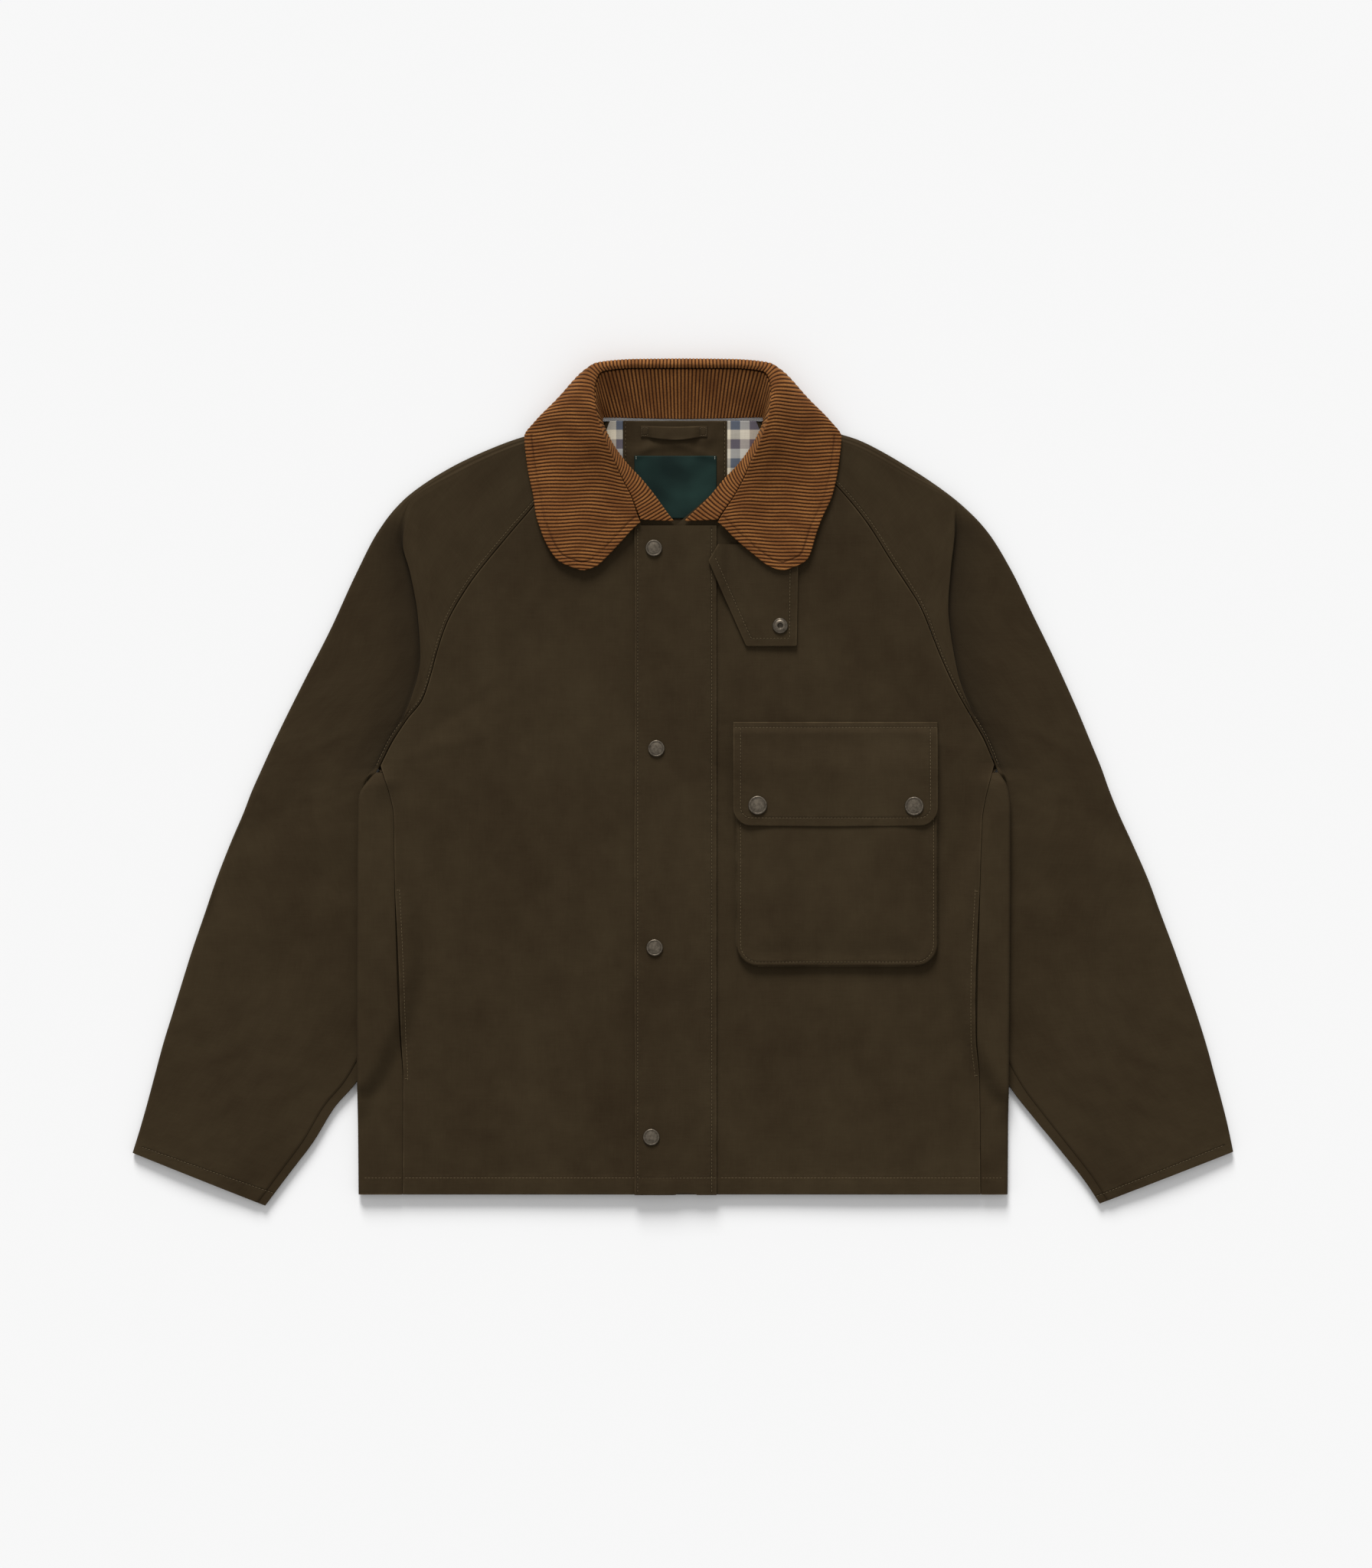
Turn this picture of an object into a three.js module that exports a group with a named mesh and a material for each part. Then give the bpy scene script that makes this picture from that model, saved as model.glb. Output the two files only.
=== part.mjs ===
// A waxed cotton jacket with a corduroy collar, laid flat on its back with the front facing up.
// Millimetres, X across the body, Y from hem to collar, Z up. The origin is on the underside, in the
// middle of the jacket's outline. Left and right are the sides seen from above.
// Each cloth piece is a wall between an outer and an inner surface, worked out on one grid.
import * as THREE from "three";

// Driving dimensions
const WALL = 1.8; // waxed shell with its lining
const THIN = 1.2; // lining and label
const DOUBLE = 2.4; // two layers sewn together: storm flap, pocket flap, tab
const CORD_WALL = 2.0; // the corduroy collar
const SEAM = 0.3; // clearance between sewn pieces
const HEM_Y = -371.5;
const BODY_TOP = 7.2; // height of the front above the floor
const SIDE_RADIUS = 3.6; // fold at the body's sides
const SLEEVE_RADIUS = 2.8; // fold along a sleeve's outer edge
const SLEEVE_CROWN = 1.3; // the middle of a sleeve stands this much higher than its fold
const SLEEVE_LIFT = 7.8; // the body's sides ride this high over the sleeves
const LIFT_RAMP = 24; // width of the slope up to that
const CREASE_STEP = 2.9; // the sleeve drops this far behind the armhole crease
const NECK_RISE = 1.2; // the front is a little higher under the collar
const FLAP_LEFT = -43.5;
const FLAP_RIGHT = 30.4;
const FRONT_SPLIT = -6.6; // the two fronts meet here, under the storm flap
const NECK_SEAM_Y = 326.5;
const THROAT_Y = 232;
const POCKET_DEPTH = 5.4; // the bellows pocket stands this far off the front

// Colours
const cloth = (color, roughness = 0.75, metalness = 0) => ({ color, roughness, metalness });
const WAXED = cloth(0x3a3021, 0.62);
const CORDUROY = cloth(0x6b431f, 0.95);
const CHECK = cloth(0xa8a08c, 0.9);
const LABEL = cloth(0x1d3a2f, 0.6);
const ANTIQUE = cloth(0x6a5f4d, 0.42, 0.9);

// Tables: a row for each section, with the columns named once
const table = (names, rows) => rows.map((row) => Object.fromEntries(names.map((name, i) => [name, row[i]])));

// The forward side seams, from the hem to the underarm
const SIDE_SEAMS = {
  left: table(["y", "x"], [[-371.5, 252.5], [-268, 252.3], [-229, 255], [-97, 259.2], [-31, 260.5], [-10, 264.5],
    [9, 270.6]]),
  right: table(["y", "x"], [[-371.5, 268.4], [-268, 267.4], [-229, 264.6], [-98.7, 267.2], [-34.5, 269.5],
    [-14.5, 272.6], [9, 278.4]]),
};
// Where the body's sides fold over, and how the fold runs in to the underarm
const SIDE_FOLDS = {
  left: table(["y", "x"], [[-371.5, 292.6], [-200, 293.8], [-60, 293.2], [-17.6, 292.6], [-7.6, 290.2],
    [0.7, 284.3], [9, 277.8], [13.8, 274.6]]),
  right: table(["y", "x"], [[-371.5, 292.9], [-200, 294.2], [-60, 295], [-24, 295], [-7.6, 293.3], [2.2, 289.3],
    [9, 285.2], [15, 282.2]]),
};
// A sleeve above the underarm: front seam, armhole crease, outer fold and hidden back seam of each section
const RAGLAN_COLUMNS = ["seamX", "seamY", "creaseX", "creaseY", "foldX", "foldY", "backX", "backY", "drop"];
const RAGLANS = {
  left: table(RAGLAN_COLUMNS, [
    [78.6, 307.8, 84, 322, 87, 328, 67, 326, 0],
    [103.4, 286.4, 112, 313, 114, 320, 90, 310, 0],
    [132.9, 251.7, 147, 303, 150, 310, 118, 288, 0],
    [162.6, 217, 203, 278, 208, 285, 150, 254, 0],
    [193.9, 177.4, 247, 249, 253, 254, 182, 212, 0.1],
    [213.7, 142.7, 252.9, 216.7, 275, 226.5, 206, 172, 0.75],
    [222.1, 118, 246.3, 190.4, 296, 186, 219, 143, 1],
    [227, 99.8, 239, 150, 318, 138, 228, 118, 1],
    [235.2, 75.2, 236.8, 112, 340, 95, 240, 86, 1],
    [249.5, 56.5, 250.6, 62, 361, 53, 256, 51, 1],
    [263.2, 35.4, 264.9, 36, 371, 32, 268, 29, 1],
    [273.1, 15.4, 275.2, 15.4, 380, 12.1, 276.2, 13.5, 0.7],
  ]),
  right: table(RAGLAN_COLUMNS, [
    [80.6, 307.8, 85, 322, 88, 328, 67, 326, 0],
    [112.4, 290.4, 115, 313, 117, 320, 92, 310, 0],
    [136.3, 270, 150, 304, 153, 311, 120, 288, 0],
    [164.3, 237, 200, 278, 206, 283, 152, 254, 0],
    [190.8, 195.6, 245, 251, 252, 250, 184, 212, 0.1],
    [212, 163, 245.5, 228, 275, 226, 208, 172, 0.7],
    [217.2, 152.8, 241.5, 190.4, 296, 192, 221, 143, 1],
    [233.7, 111.5, 239.2, 157.3, 317, 149, 232, 118, 1],
    [246.8, 83.4, 248, 98, 335, 112, 248, 86, 1],
    [261.5, 57.1, 262.8, 60, 357, 63, 264, 51, 1],
    [272.4, 37.6, 274, 38, 368.5, 35.2, 275, 29, 1],
    [281.3, 16.3, 283.2, 16.3, 378, 12, 284.6, 13.5, 0.7],
  ]),
};
// A sleeve below the underarm: inner edge, first hidden behind the body, and outer fold
const ARM_COLUMNS = ["innerX", "innerY", "foldX", "foldY"];
const ARMS = {
  left: table(ARM_COLUMNS, [
    [287.2, 0, 389, -8], [294.6, -18, 396.5, -27.5], [284, -45, 407, -52], [268, -80, 420, -85],
    [258, -115, 432, -120], [255, -155, 443, -152], [260, -195, 453, -184], [274, -233, 461, -210],
    [294, -270, 469, -236], [314, -293, 476.5, -264], [333.8, -325, 484, -292], [353.6, -351, 490, -313],
    [376.7, -381.7, 496.5, -334],
  ]),
  right: table(ARM_COLUMNS, [
    [292.4, 0, 384, -5], [297.4, -20, 393, -27.5], [286, -47, 406, -56], [270, -82, 420, -88],
    [260, -115, 431, -118], [256, -155, 443, -150], [261, -195, 454, -181], [274, -234, 464, -210],
    [294.3, -273.6, 473, -239], [315.7, -301.6, 479.5, -263], [338.8, -329.7, 486, -287], [363.6, -361, 491.5, -309],
    [376, -379.8, 496.5, -333],
  ]),
};
// Collar, from the throat to the middle of the back: the seam between stand and leaf, and the stand's lower edge
const STAND_COLUMNS = ["topX", "topY", "topZ", "footX", "footY", "footZ"];
const STAND = table(STAND_COLUMNS, [
  [34.5, 236.5, 13.6, 4.4, 235.2, 12.2], [45, 256, 15.6, 21, 254, 12.4], [54.5, 274, 18.2, 38, 275, 12.4],
  [61, 289, 22.4, 50, 288, 12.2], [70.5, 311, 29.2, 64.5, 309, 11.6], [77.2, 333, 31.2, 71.5, 325, 8],
  [78.2, 350, 27.6, 71.6, 328.2, 5], [72.5, 367.5, 21.4, 62, 328.6, 3.9], [42, 371.4, 17.6, 36, 328, 3.7],
  [0, 371.6, 16.6, 0, 327.4, 3.6],
]);
// The leaf's sections, from its seam over the roll to its outer edge, which wraps behind the neck at the back
const LEAF_COLUMNS = ["x0", "y0", "z0", "x1", "y1", "z1", "x2", "y2", "z2", "x3", "y3", "z3", "x4", "y4", "z4",
  "x5", "y5", "z5"];
const LEAF = table(LEAF_COLUMNS, [
  [34.6, 234.2, 15, 41, 228.5, 15.4, 49, 220, 15, 63, 206.6, 14.2, 78, 194.4, 13.6, 90.4, 190.2, 13.3],
  [45.6, 256, 17, 56, 249, 17.4, 69, 238, 16, 86, 222, 14.4, 102, 207, 13.5, 112, 200, 13],
  [55.2, 274, 20.6, 65, 268, 20.4, 79, 260, 17.8, 96, 250, 14.8, 113, 240, 13.2, 126.5, 232, 12.6],
  [61.8, 289.2, 25.6, 72, 285.5, 24.6, 86, 280, 20, 103, 272, 15.4, 121, 264.5, 12.8, 135, 259, 12],
  [71.4, 311.4, 32.6, 80, 309, 31, 93, 305, 24.6, 110, 298.5, 17, 127, 291.5, 13.4, 140.6, 286.5, 12],
  [78, 334, 34.6, 84, 336, 33.8, 96, 336, 28, 114, 331, 20, 131, 322.5, 14, 143.2, 312.4, 11.2],
  [78.9, 350.6, 30.8, 83, 353, 31.6, 93, 354.5, 28, 104, 354.8, 16, 110.5, 346, 4, 114, 330, 1],
  [73.2, 368.2, 24.2, 76.5, 372, 25.6, 79.5, 376.8, 22, 79.6, 375.8, 10, 74, 360, 0.6, 70, 333, 0],
  [42, 372.2, 19, 42, 376, 20.6, 42, 381.2, 16, 42, 378.6, 6, 42, 366, 0.2, 42, 332, 0],
  [0, 372.4, 17.8, 0, 376.2, 19.4, 0, 381.7, 14.6, 0, 378.8, 5, 0, 366, 0, 0, 331.4, 0],
]);
const SNAPS = table(["x", "y"], [[-26.2, 211.1], [-23.9, 30.6], [-25.5, -148.8], [-28.5, -319.5]]);
const FLAP_SNAPS = table(["x", "y"], [[67.3, -20.5], [208, -21.3]]);
const TAB_SOCKET = { x: 87.6, y: 141.1 };

// Helpers
const clamp = THREE.MathUtils.clamp;
const lerp = THREE.MathUtils.lerp;
const point = (x, y, z) => new THREE.Vector3(x, y, z);
const range = (count) => Array.from({ length: count }, (_, i) => i);
const steps = (count, from = 0, to = 1) => range(count + 1).map((i) => lerp(from, to, i / count));

function smooth(from, to, at) {
  const t = clamp((at - from) / (to - from), 0, 1);
  return t * t * (3 - 2 * t);
}

// A smooth curve through one column of a table over another column, or over the row's number.
// Its slopes are harmonic means, so that it never overshoots a row.
function curve(rows, over, column) {
  const at = rows.map((row, i) => (over ? row[over] : i));
  const value = rows.map((row) => row[column]);
  const secant = (i) => (value[i + 1] - value[i]) / (at[i + 1] - at[i]);
  const slope = at.map((_, i) => {
    if (i === 0) return secant(0);
    if (i === at.length - 1) return secant(i - 1);
    const [a, b] = [secant(i - 1), secant(i)];
    return a * b <= 0 ? 0 : (2 * a * b) / (a + b);
  });
  return (t) => {
    let k = 0;
    while (k < at.length - 2 && t > at[k + 1]) k += 1;
    const width = at[k + 1] - at[k];
    const f = clamp((t - at[k]) / width, 0, 1);
    const [a, b] = [value[k], value[k + 1]];
    return (1 + 2 * f) * (1 - f) ** 2 * a + f * (1 - f) ** 2 * width * slope[k]
      + f * f * (3 - 2 * f) * b + f * f * (f - 1) * width * slope[k + 1];
  };
}

// A closed wall between two grids of points of the same size, its faces turned outwards
function shell(outer, inner) {
  const [rows, cols] = [outer.length, outer[0].length];
  const points = [...outer.flat(), ...inner.flat()];
  const triangles = [];
  const quad = (a, b, c, d) => triangles.push([a, b, c], [a, c, d]);
  const out = (r, c) => r * cols + c;
  const inn = (r, c) => rows * cols + out(r, c);
  for (let r = 0; r < rows - 1; r += 1) {
    for (let c = 0; c < cols - 1; c += 1) {
      quad(out(r, c), out(r, c + 1), out(r + 1, c + 1), out(r + 1, c));
      quad(inn(r, c), inn(r + 1, c), inn(r + 1, c + 1), inn(r, c + 1));
    }
  }
  for (let c = 0; c < cols - 1; c += 1) {
    quad(out(0, c + 1), out(0, c), inn(0, c), inn(0, c + 1));
    quad(out(rows - 1, c), out(rows - 1, c + 1), inn(rows - 1, c + 1), inn(rows - 1, c));
  }
  for (let r = 0; r < rows - 1; r += 1) {
    quad(out(r, 0), out(r + 1, 0), inn(r + 1, 0), inn(r, 0));
    quad(out(r + 1, cols - 1), out(r, cols - 1), inn(r, cols - 1), inn(r + 1, cols - 1));
  }
  const volume = triangles.reduce(
    (sum, [a, b, c]) => sum + points[a].dot(points[b].clone().cross(points[c])), 0);
  if (volume < 0) triangles.forEach((triangle) => triangle.reverse());
  const geometry = new THREE.BufferGeometry();
  geometry.setAttribute("position", new THREE.Float32BufferAttribute(points.flatMap((p) => p.toArray()), 3));
  geometry.setIndex(triangles.flat());
  geometry.computeVertexNormals();
  return geometry;
}

// Moves a grid's points along its normals, by a distance that is positive on the grid's left-hand side
function offset(grid, distance) {
  const at = (r, c) => grid[clamp(r, 0, grid.length - 1)][clamp(c, 0, grid[0].length - 1)];
  return grid.map((row, r) => row.map((p, c) => {
    const along = at(r, c + 1).clone().sub(at(r, c - 1));
    const across = at(r + 1, c).clone().sub(at(r - 1, c));
    return p.clone().addScaledVector(along.cross(across).normalize(), distance);
  }));
}

const lowered = (grid, by) => grid.map((row) => row.map((p) => point(p.x, p.y, p.z - by)));

const jacket = new THREE.Group();
function add(name, geometry, finish) {
  const mesh = new THREE.Mesh(geometry, new THREE.MeshStandardMaterial(finish));
  mesh.name = name;
  jacket.add(mesh);
}

// Heights of the laid-flat body, shared by every piece that lies on it
const sides = { left: -1, right: 1 };
const sideOf = (x) => (x < 0 ? "left" : "right");
const seamX = {};
const foldX = {};
const sleeveInnerX = {};
for (const side of Object.keys(sides)) {
  const falling = ARMS[side].map((row) => ({ y: -row.innerY, x: row.innerX }));
  seamX[side] = curve(SIDE_SEAMS[side], "y", "x");
  foldX[side] = curve(SIDE_FOLDS[side], "y", "x");
  sleeveInnerX[side] = ((inner) => (y) => inner(-y))(curve(falling, "y", "x"));
}
const rampEnd = (side, y) => Math.min(sleeveInnerX[side](y) - 3, foldX[side](y) + 8);
const rampStart = (side, y) => rampEnd(side, y) - LIFT_RAMP;

function sideLift(x, y) {
  const side = sideOf(x);
  const reach = smooth(rampStart(side, y), rampEnd(side, y), Math.abs(x));
  return SLEEVE_LIFT * reach * smooth(8, -16, y) * smooth(-312, -282, y);
}

// Soft folds of the cloth: a shallow trough from each underarm and slow waves across the fronts
function softFolds(x, y) {
  const armpit = Math.hypot(Math.abs(x) - 215, y - 60);
  const trough = -0.9 * Math.exp(-((armpit / 34) ** 2));
  const waves = 0.5 * Math.sin(x / 47 + y / 130) * Math.sin(y / 83 - x / 160);
  return trough + waves * smooth(250, 150, Math.abs(x));
}

function topHeight(x, y) {
  return BODY_TOP + sideLift(x, y) + softFolds(x, y) + NECK_RISE * smooth(150, 250, y);
}

// Back: the bottom layer, wrapped forward round both sides to the forward seams
const BACK_WRAPPED_ROWS = [-371.5, -345, -318, -300, -284, -268, -245, -215, -180, -145, -110, -80, -52, -32,
  -16, -5, 3, 9];
const BACK_OPEN_ROWS = RAGLANS.left.map((row) => row.backY).reverse();
const backSeamX = {};
for (const side of Object.keys(sides)) {
  const rows = [...RAGLANS[side]].reverse().map((row) => ({ y: row.backY, x: row.backX - SEAM }));
  backSeamX[side] = curve(rows, "y", "x");
}

function backHalfRow(side, y, wrapped) {
  const sign = sides[side];
  if (!wrapped) {
    const edge = backSeamX[side](y);
    const flat = [0.25, 0.5, 0.7, 0.85, 0.95].map((f) => f * (edge - 3));
    const rim = steps(5, edge - 3, edge);
    return [...flat, ...rim].map((x) => point(sign * x, y, 0));
  }
  const [fold, seam] = [foldX[side](y), seamX[side](y) + SEAM];
  const turn = fold - SIDE_RADIUS;
  const end = Math.min(rampEnd(side, y), turn - 4);
  const start = Math.min(rampStart(side, y), end - 4);
  const bottom = [start * 0.4, start * 0.75, start, (start + end) / 2, end, turn];
  const outer = bottom.map((x) => point(sign * x, y, sideLift(sign * x, y)));
  const high = topHeight(sign * turn, y);
  const low = sideLift(sign * turn, y);
  const middle = (high + low) / 2;
  for (const angle of [-45, 0, 45]) {
    const turned = THREE.MathUtils.degToRad(angle);
    outer.push(point(sign * (turn + SIDE_RADIUS * Math.cos(turned)), y,
      middle + ((high - low) / 2) * Math.sin(turned)));
  }
  for (const x of [Math.max(turn, seam + 2), seam]) outer.push(point(sign * x, y, topHeight(sign * x, y)));
  return outer;
}

function backRow(y, wrapped) {
  const left = backHalfRow("left", y, wrapped).reverse();
  return [...left, point(0, y, 0), ...backHalfRow("right", y, wrapped)];
}

// The inner surface of a row: the outer one moved in by the wall, square to the row's own line
function innerRow(row) {
  return row.map((p, i) => {
    const before = row[Math.max(i - 1, 0)];
    const after = row[Math.min(i + 1, row.length - 1)];
    const [dx, dz] = [after.x - before.x, after.z - before.z];
    const length = Math.hypot(dx, dz);
    return point(p.x - (WALL * dz) / length, p.y, p.z + (WALL * dx) / length);
  });
}

function makeBack() {
  const outer = [...BACK_WRAPPED_ROWS.map((y) => backRow(y, true)), ...BACK_OPEN_ROWS.map((y) => backRow(y, false))];
  add("back", shell(outer, outer.map(innerRow)), WAXED);
}

// Fronts: from the meeting line under the storm flap to the side seam, and above it to the raglan seam
const FRONT_ROWS = [-371.5, -345, -318, -300, -284, -268, -245, -215, -180, -145, -110, -80, -52, -32, -16, -5, 4];
const SHOULDER_Y = 307.8;
const POCKET_SLITS = { left: { low: -267, high: -97 }, right: { low: -264, high: -98 } };
const SLIT_WIDTH = 2.6;

function frontEdgeX(side, y) {
  const { low, high } = POCKET_SLITS[side];
  const along = clamp((y - low) / (high - low), 0, 1);
  return seamX[side](y) - SLIT_WIDTH * Math.sin(Math.PI * along);
}

function makeFront(side) {
  const sign = sides[side];
  const innerX = side === "left" ? SEAM - FRONT_SPLIT : SEAM + FRONT_SPLIT;
  const edges = FRONT_ROWS.map((y) => ({ x: frontEdgeX(side, y), y }));
  for (const row of [...RAGLANS[side]].reverse()) edges.push({ x: row.seamX - 2 * SEAM, y: row.seamY - SEAM });
  const rows = edges.map(({ x: edge, y }) => {
    const end = Math.min(rampEnd(side, y), edge - 3);
    const start = Math.min(rampStart(side, y), end - 10);
    const marks = [0, 0.3, 0.55, 0.8, ...[start, (start + end) / 2, end].map((x) => (x - innerX) / (edge - innerX)), 1];
    const even = [0, 0.25, 0.5, 0.7, 0.82, 0.9, 0.96, 1];
    const innerY = y < 0 ? y : y * (THROAT_Y / SHOULDER_Y);
    return marks.map((mark, i) => {
      const across = lerp(mark, even[i], smooth(4, 40, y));
      const [x, rowY] = [sign * lerp(innerX, edge, across), lerp(innerY, y, across)];
      return point(x, rowY, topHeight(x, rowY));
    });
  });
  add(`front_${side}`, shell(rows, lowered(rows, WALL)), WAXED);
}

// Sleeves: one piece each, from the front seam over the outer fold to the hidden back seam
function sleeveSection({ front, crease, fold, back, drop, closed }) {
  const path = [];
  const plan = (a, b, f) => [lerp(a.x, b.x, f), lerp(a.y, b.y, f)];
  const put = ([x, y], z) => path.push(point(x, y, z));
  const flat = 2 * SLEEVE_RADIUS;
  const seamZ = closed ? SLEEVE_RADIUS + 2.2 : topHeight(front.x, front.y);
  const creaseZ = closed ? flat : lerp(seamZ, seamZ + 0.8 * drop, 1);
  put([front.x, front.y], seamZ);
  put(plan(front, crease, 0.5), (seamZ + creaseZ) / 2);
  put(plan(front, crease, 0.88), creaseZ);
  put([crease.x, crease.y], creaseZ - 0.5 * drop);
  const span = Math.hypot(fold.x - crease.x, fold.y - crease.y);
  const footZ = closed ? flat + 0.4 : creaseZ - (CREASE_STEP + 0.8) * drop;
  put(plan(crease, fold, 2.2 / span), footZ);
  const turn = 1 - SLEEVE_RADIUS / span;
  const foldZ = 2 * SLEEVE_RADIUS;
  for (const f of [0.3, 0.6, 0.88, turn]) {
    const crown = SLEEVE_CROWN * Math.sin(Math.PI * clamp(f, 0, 1));
    put(plan(crease, fold, f), lerp(footZ, foldZ, smooth(0, 0.5, f)) + crown * smooth(0, 0.3, f));
  }
  for (const angle of [50, 0, -50]) {
    const turned = THREE.MathUtils.degToRad(angle);
    const f = turn + (SLEEVE_RADIUS / span) * Math.cos(turned);
    put(plan(crease, fold, f), SLEEVE_RADIUS * (1 + Math.sin(turned)));
  }
  const below = plan(crease, fold, turn);
  const under = { x: below[0], y: below[1] };
  const away = Math.hypot(under.x - back.x, under.y - back.y);
  for (const f of [0, 0.35, 0.7, 1 - 4 / away]) put(plan(under, back, f), 0);
  put([back.x, back.y], closed ? SLEEVE_RADIUS - 1.2 : 0);
  return path;
}

function sleeveInner(path) {
  return path.map((p, i) => {
    const before = path[Math.max(i - 1, 0)];
    const after = path[Math.min(i + 1, path.length - 1)];
    const along = after.clone().sub(before).normalize();
    const level = point(path[6].x - path[4].x, path[6].y - path[4].y, 0).normalize();
    const forward = along.dot(level);
    return p.clone().addScaledVector(level, WALL * along.z).add(point(0, 0, -WALL * forward));
  });
}

function makeSleeve(side) {
  const sign = sides[side];
  const outer = RAGLANS[side].map((row) => sleeveSection({
    front: { x: sign * row.seamX, y: row.seamY }, crease: { x: sign * row.creaseX, y: row.creaseY },
    fold: { x: sign * row.foldX, y: row.foldY }, back: { x: sign * row.backX, y: row.backY },
    drop: row.drop, closed: false,
  }));
  for (const row of ARMS[side]) {
    const [front, fold] = [{ x: sign * row.innerX, y: row.innerY }, { x: sign * row.foldX, y: row.foldY }];
    const crease = { x: lerp(front.x, fold.x, 0.06), y: lerp(front.y, fold.y, 0.06) };
    outer.push(sleeveSection({ front, crease, fold, back: front, drop: 0, closed: true }));
  }
  add(`sleeve_${side}`, shell(outer, outer.map(sleeveInner)), WAXED);
}

// A flat piece of cloth that lies on the body, between two side lines, with a row for each height
function layOn(name, rows, thickness, finish, heightAt) {
  const top = rows.map((row) => row.map(([x, y]) => point(x, y, heightAt(x, y) + thickness)));
  add(name, shell(top, lowered(top, thickness)), finish);
}

const between = (left, right, y, columns) => steps(columns, left, right).map((x) => [x, y]);

const onFront = (x, y) => topHeight(x, y) + SEAM;

function makeStormFlap() {
  const rows = steps(22, HEM_Y - 0.3, THROAT_Y - 0.5).map((y) => between(FLAP_LEFT, FLAP_RIGHT, y, 4));
  layOn("storm_flap", rows, DOUBLE, WAXED, onFront);
}

const flapTop = (x, y) => onFront(x, y) + DOUBLE;

// Chest pocket: a shallow bellows bag, open along its top under the flap
const BAG = { left: 48.3, right: 230, top: 43, bottom: -166, corner: 17 };
const POCKET_FLAP = { left: 45.3, right: 229.4, top: 54.5, bottom: -38.6, corner: 12 };

// Left and right ends of a rounded rectangle's row
function roundedEnds({ left, right, bottom, corner }, y, inset = 0) {
  const radius = corner - inset;
  const depth = clamp(bottom + corner - y, 0, radius);
  const cut = corner - Math.sqrt(Math.max(radius ** 2 - depth ** 2, 0));
  return [left + cut, right - cut];
}

const bagHeight = (x, y) => onFront(x, y) + lerp(POCKET_DEPTH, 2.4, smooth(BAG.top - 34, BAG.top, y));

function makeChestPocket() {
  const lean = 0.9;
  const ys = [BAG.top, 30, 10, -30, -75, -120, BAG.bottom + BAG.corner, BAG.bottom + 10, BAG.bottom + 5,
    BAG.bottom + 2, BAG.bottom + lean];
  const face = (inset, drop) => ys.map((y, r) => {
    const last = r === ys.length - 1;
    const rowY = last ? BAG.bottom + lean + inset : Math.max(y, BAG.bottom + lean + inset + 0.4 * (ys.length - 1 - r));
    const [left, right] = roundedEnds(BAG, rowY - lean, inset);
    return steps(7, left + lean, right - lean).map((x) => point(x, rowY, bagHeight(x, rowY) - drop));
  });
  const withSides = (grid, inset) => {
    const foot = (p, dx, dy) => point(p.x + dx, p.y + dy, onFront(p.x, p.y));
    const rows = grid.map((row) => [foot(row[0], -lean, 0), ...row, foot(row[row.length - 1], lean, 0)]);
    const last = rows[rows.length - 1];
    rows.push(last.map((p) => foot(p, 0, -lean)));
    return rows;
  };
  add("chest_pocket", shell(withSides(face(0, 0)), withSides(face(WALL, WALL))), WAXED);
}

function pocketFlapHeight(x, y) {
  const low = onFront(x, y);
  const onBag = bagHeight(x, y) + SEAM;
  const rise = lerp(onBag, low + 0.2, smooth(BAG.top + 1, POCKET_FLAP.top - 1, y));
  return Math.max(rise, low);
}

function makePocketFlap() {
  const { top, bottom, corner } = POCKET_FLAP;
  const ys = [top, top - 4, top - 8, BAG.top, 30, 10, -10, bottom + corner, bottom + 7, bottom + 3, bottom + 1, bottom];
  const rows = ys.map((y) => between(...roundedEnds(POCKET_FLAP, y), y, 8));
  layOn("pocket_flap", rows, DOUBLE, WAXED, pocketFlapHeight);
}

// Throat tab: hangs from under the collar, over the edge of the storm flap
const TAB = table(["y", "left", "right"], [[214.6, 31.7, 104], [199.4, 22.8, 103.9], [180, 31.4, 103.7],
  [160, 40.3, 103.3], [140, 49.2, 103], [122.6, 57, 102.7]]);

function tabHeight(x, y) {
  return lerp(flapTop(x, y) + 3 * SEAM, onFront(x, y), smooth(FLAP_RIGHT + 2, FLAP_RIGHT + 12, x));
}

function makeThroatTab() {
  const rows = TAB.map(({ y, left, right }) => {
    const shoulder = clamp((FLAP_RIGHT + 2 - left) / (right - left), 0.08, 0.3);
    const foot = shoulder + 0.14;
    return [0, shoulder, foot, 0.6, 0.8, 1].map((f) => [lerp(left, right, f), y]);
  });
  layOn("throat_tab", rows, DOUBLE, WAXED, tabHeight);
}

// Snap caps and the tab's socket: turned pieces on the cloth
function turned(profile, x, y, z) {
  const geometry = new THREE.LatheGeometry(profile.map(([r, h]) => new THREE.Vector2(r, h)), 14);
  return geometry.rotateX(Math.PI / 2).translate(x, y, z);
}

function snapProfile(diameter) {
  const r = diameter / 2;
  return [[0, 0], [r * 0.94, 0], [r, 0.5], [r * 0.97, 1.1], [r * 0.86, 1.5], [r * 0.8, 1.25], [r * 0.6, 1.6], [0, 1.9]];
}

// The highest point of a surface under a round piece, so that the piece clears it all round
function seat(heightAt, { x, y }, radius) {
  return Math.max(...steps(8, 0, 2 * Math.PI).map((a) => heightAt(x + radius * Math.cos(a), y + radius * Math.sin(a))),
    heightAt(x, y)) + SEAM;
}

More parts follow.
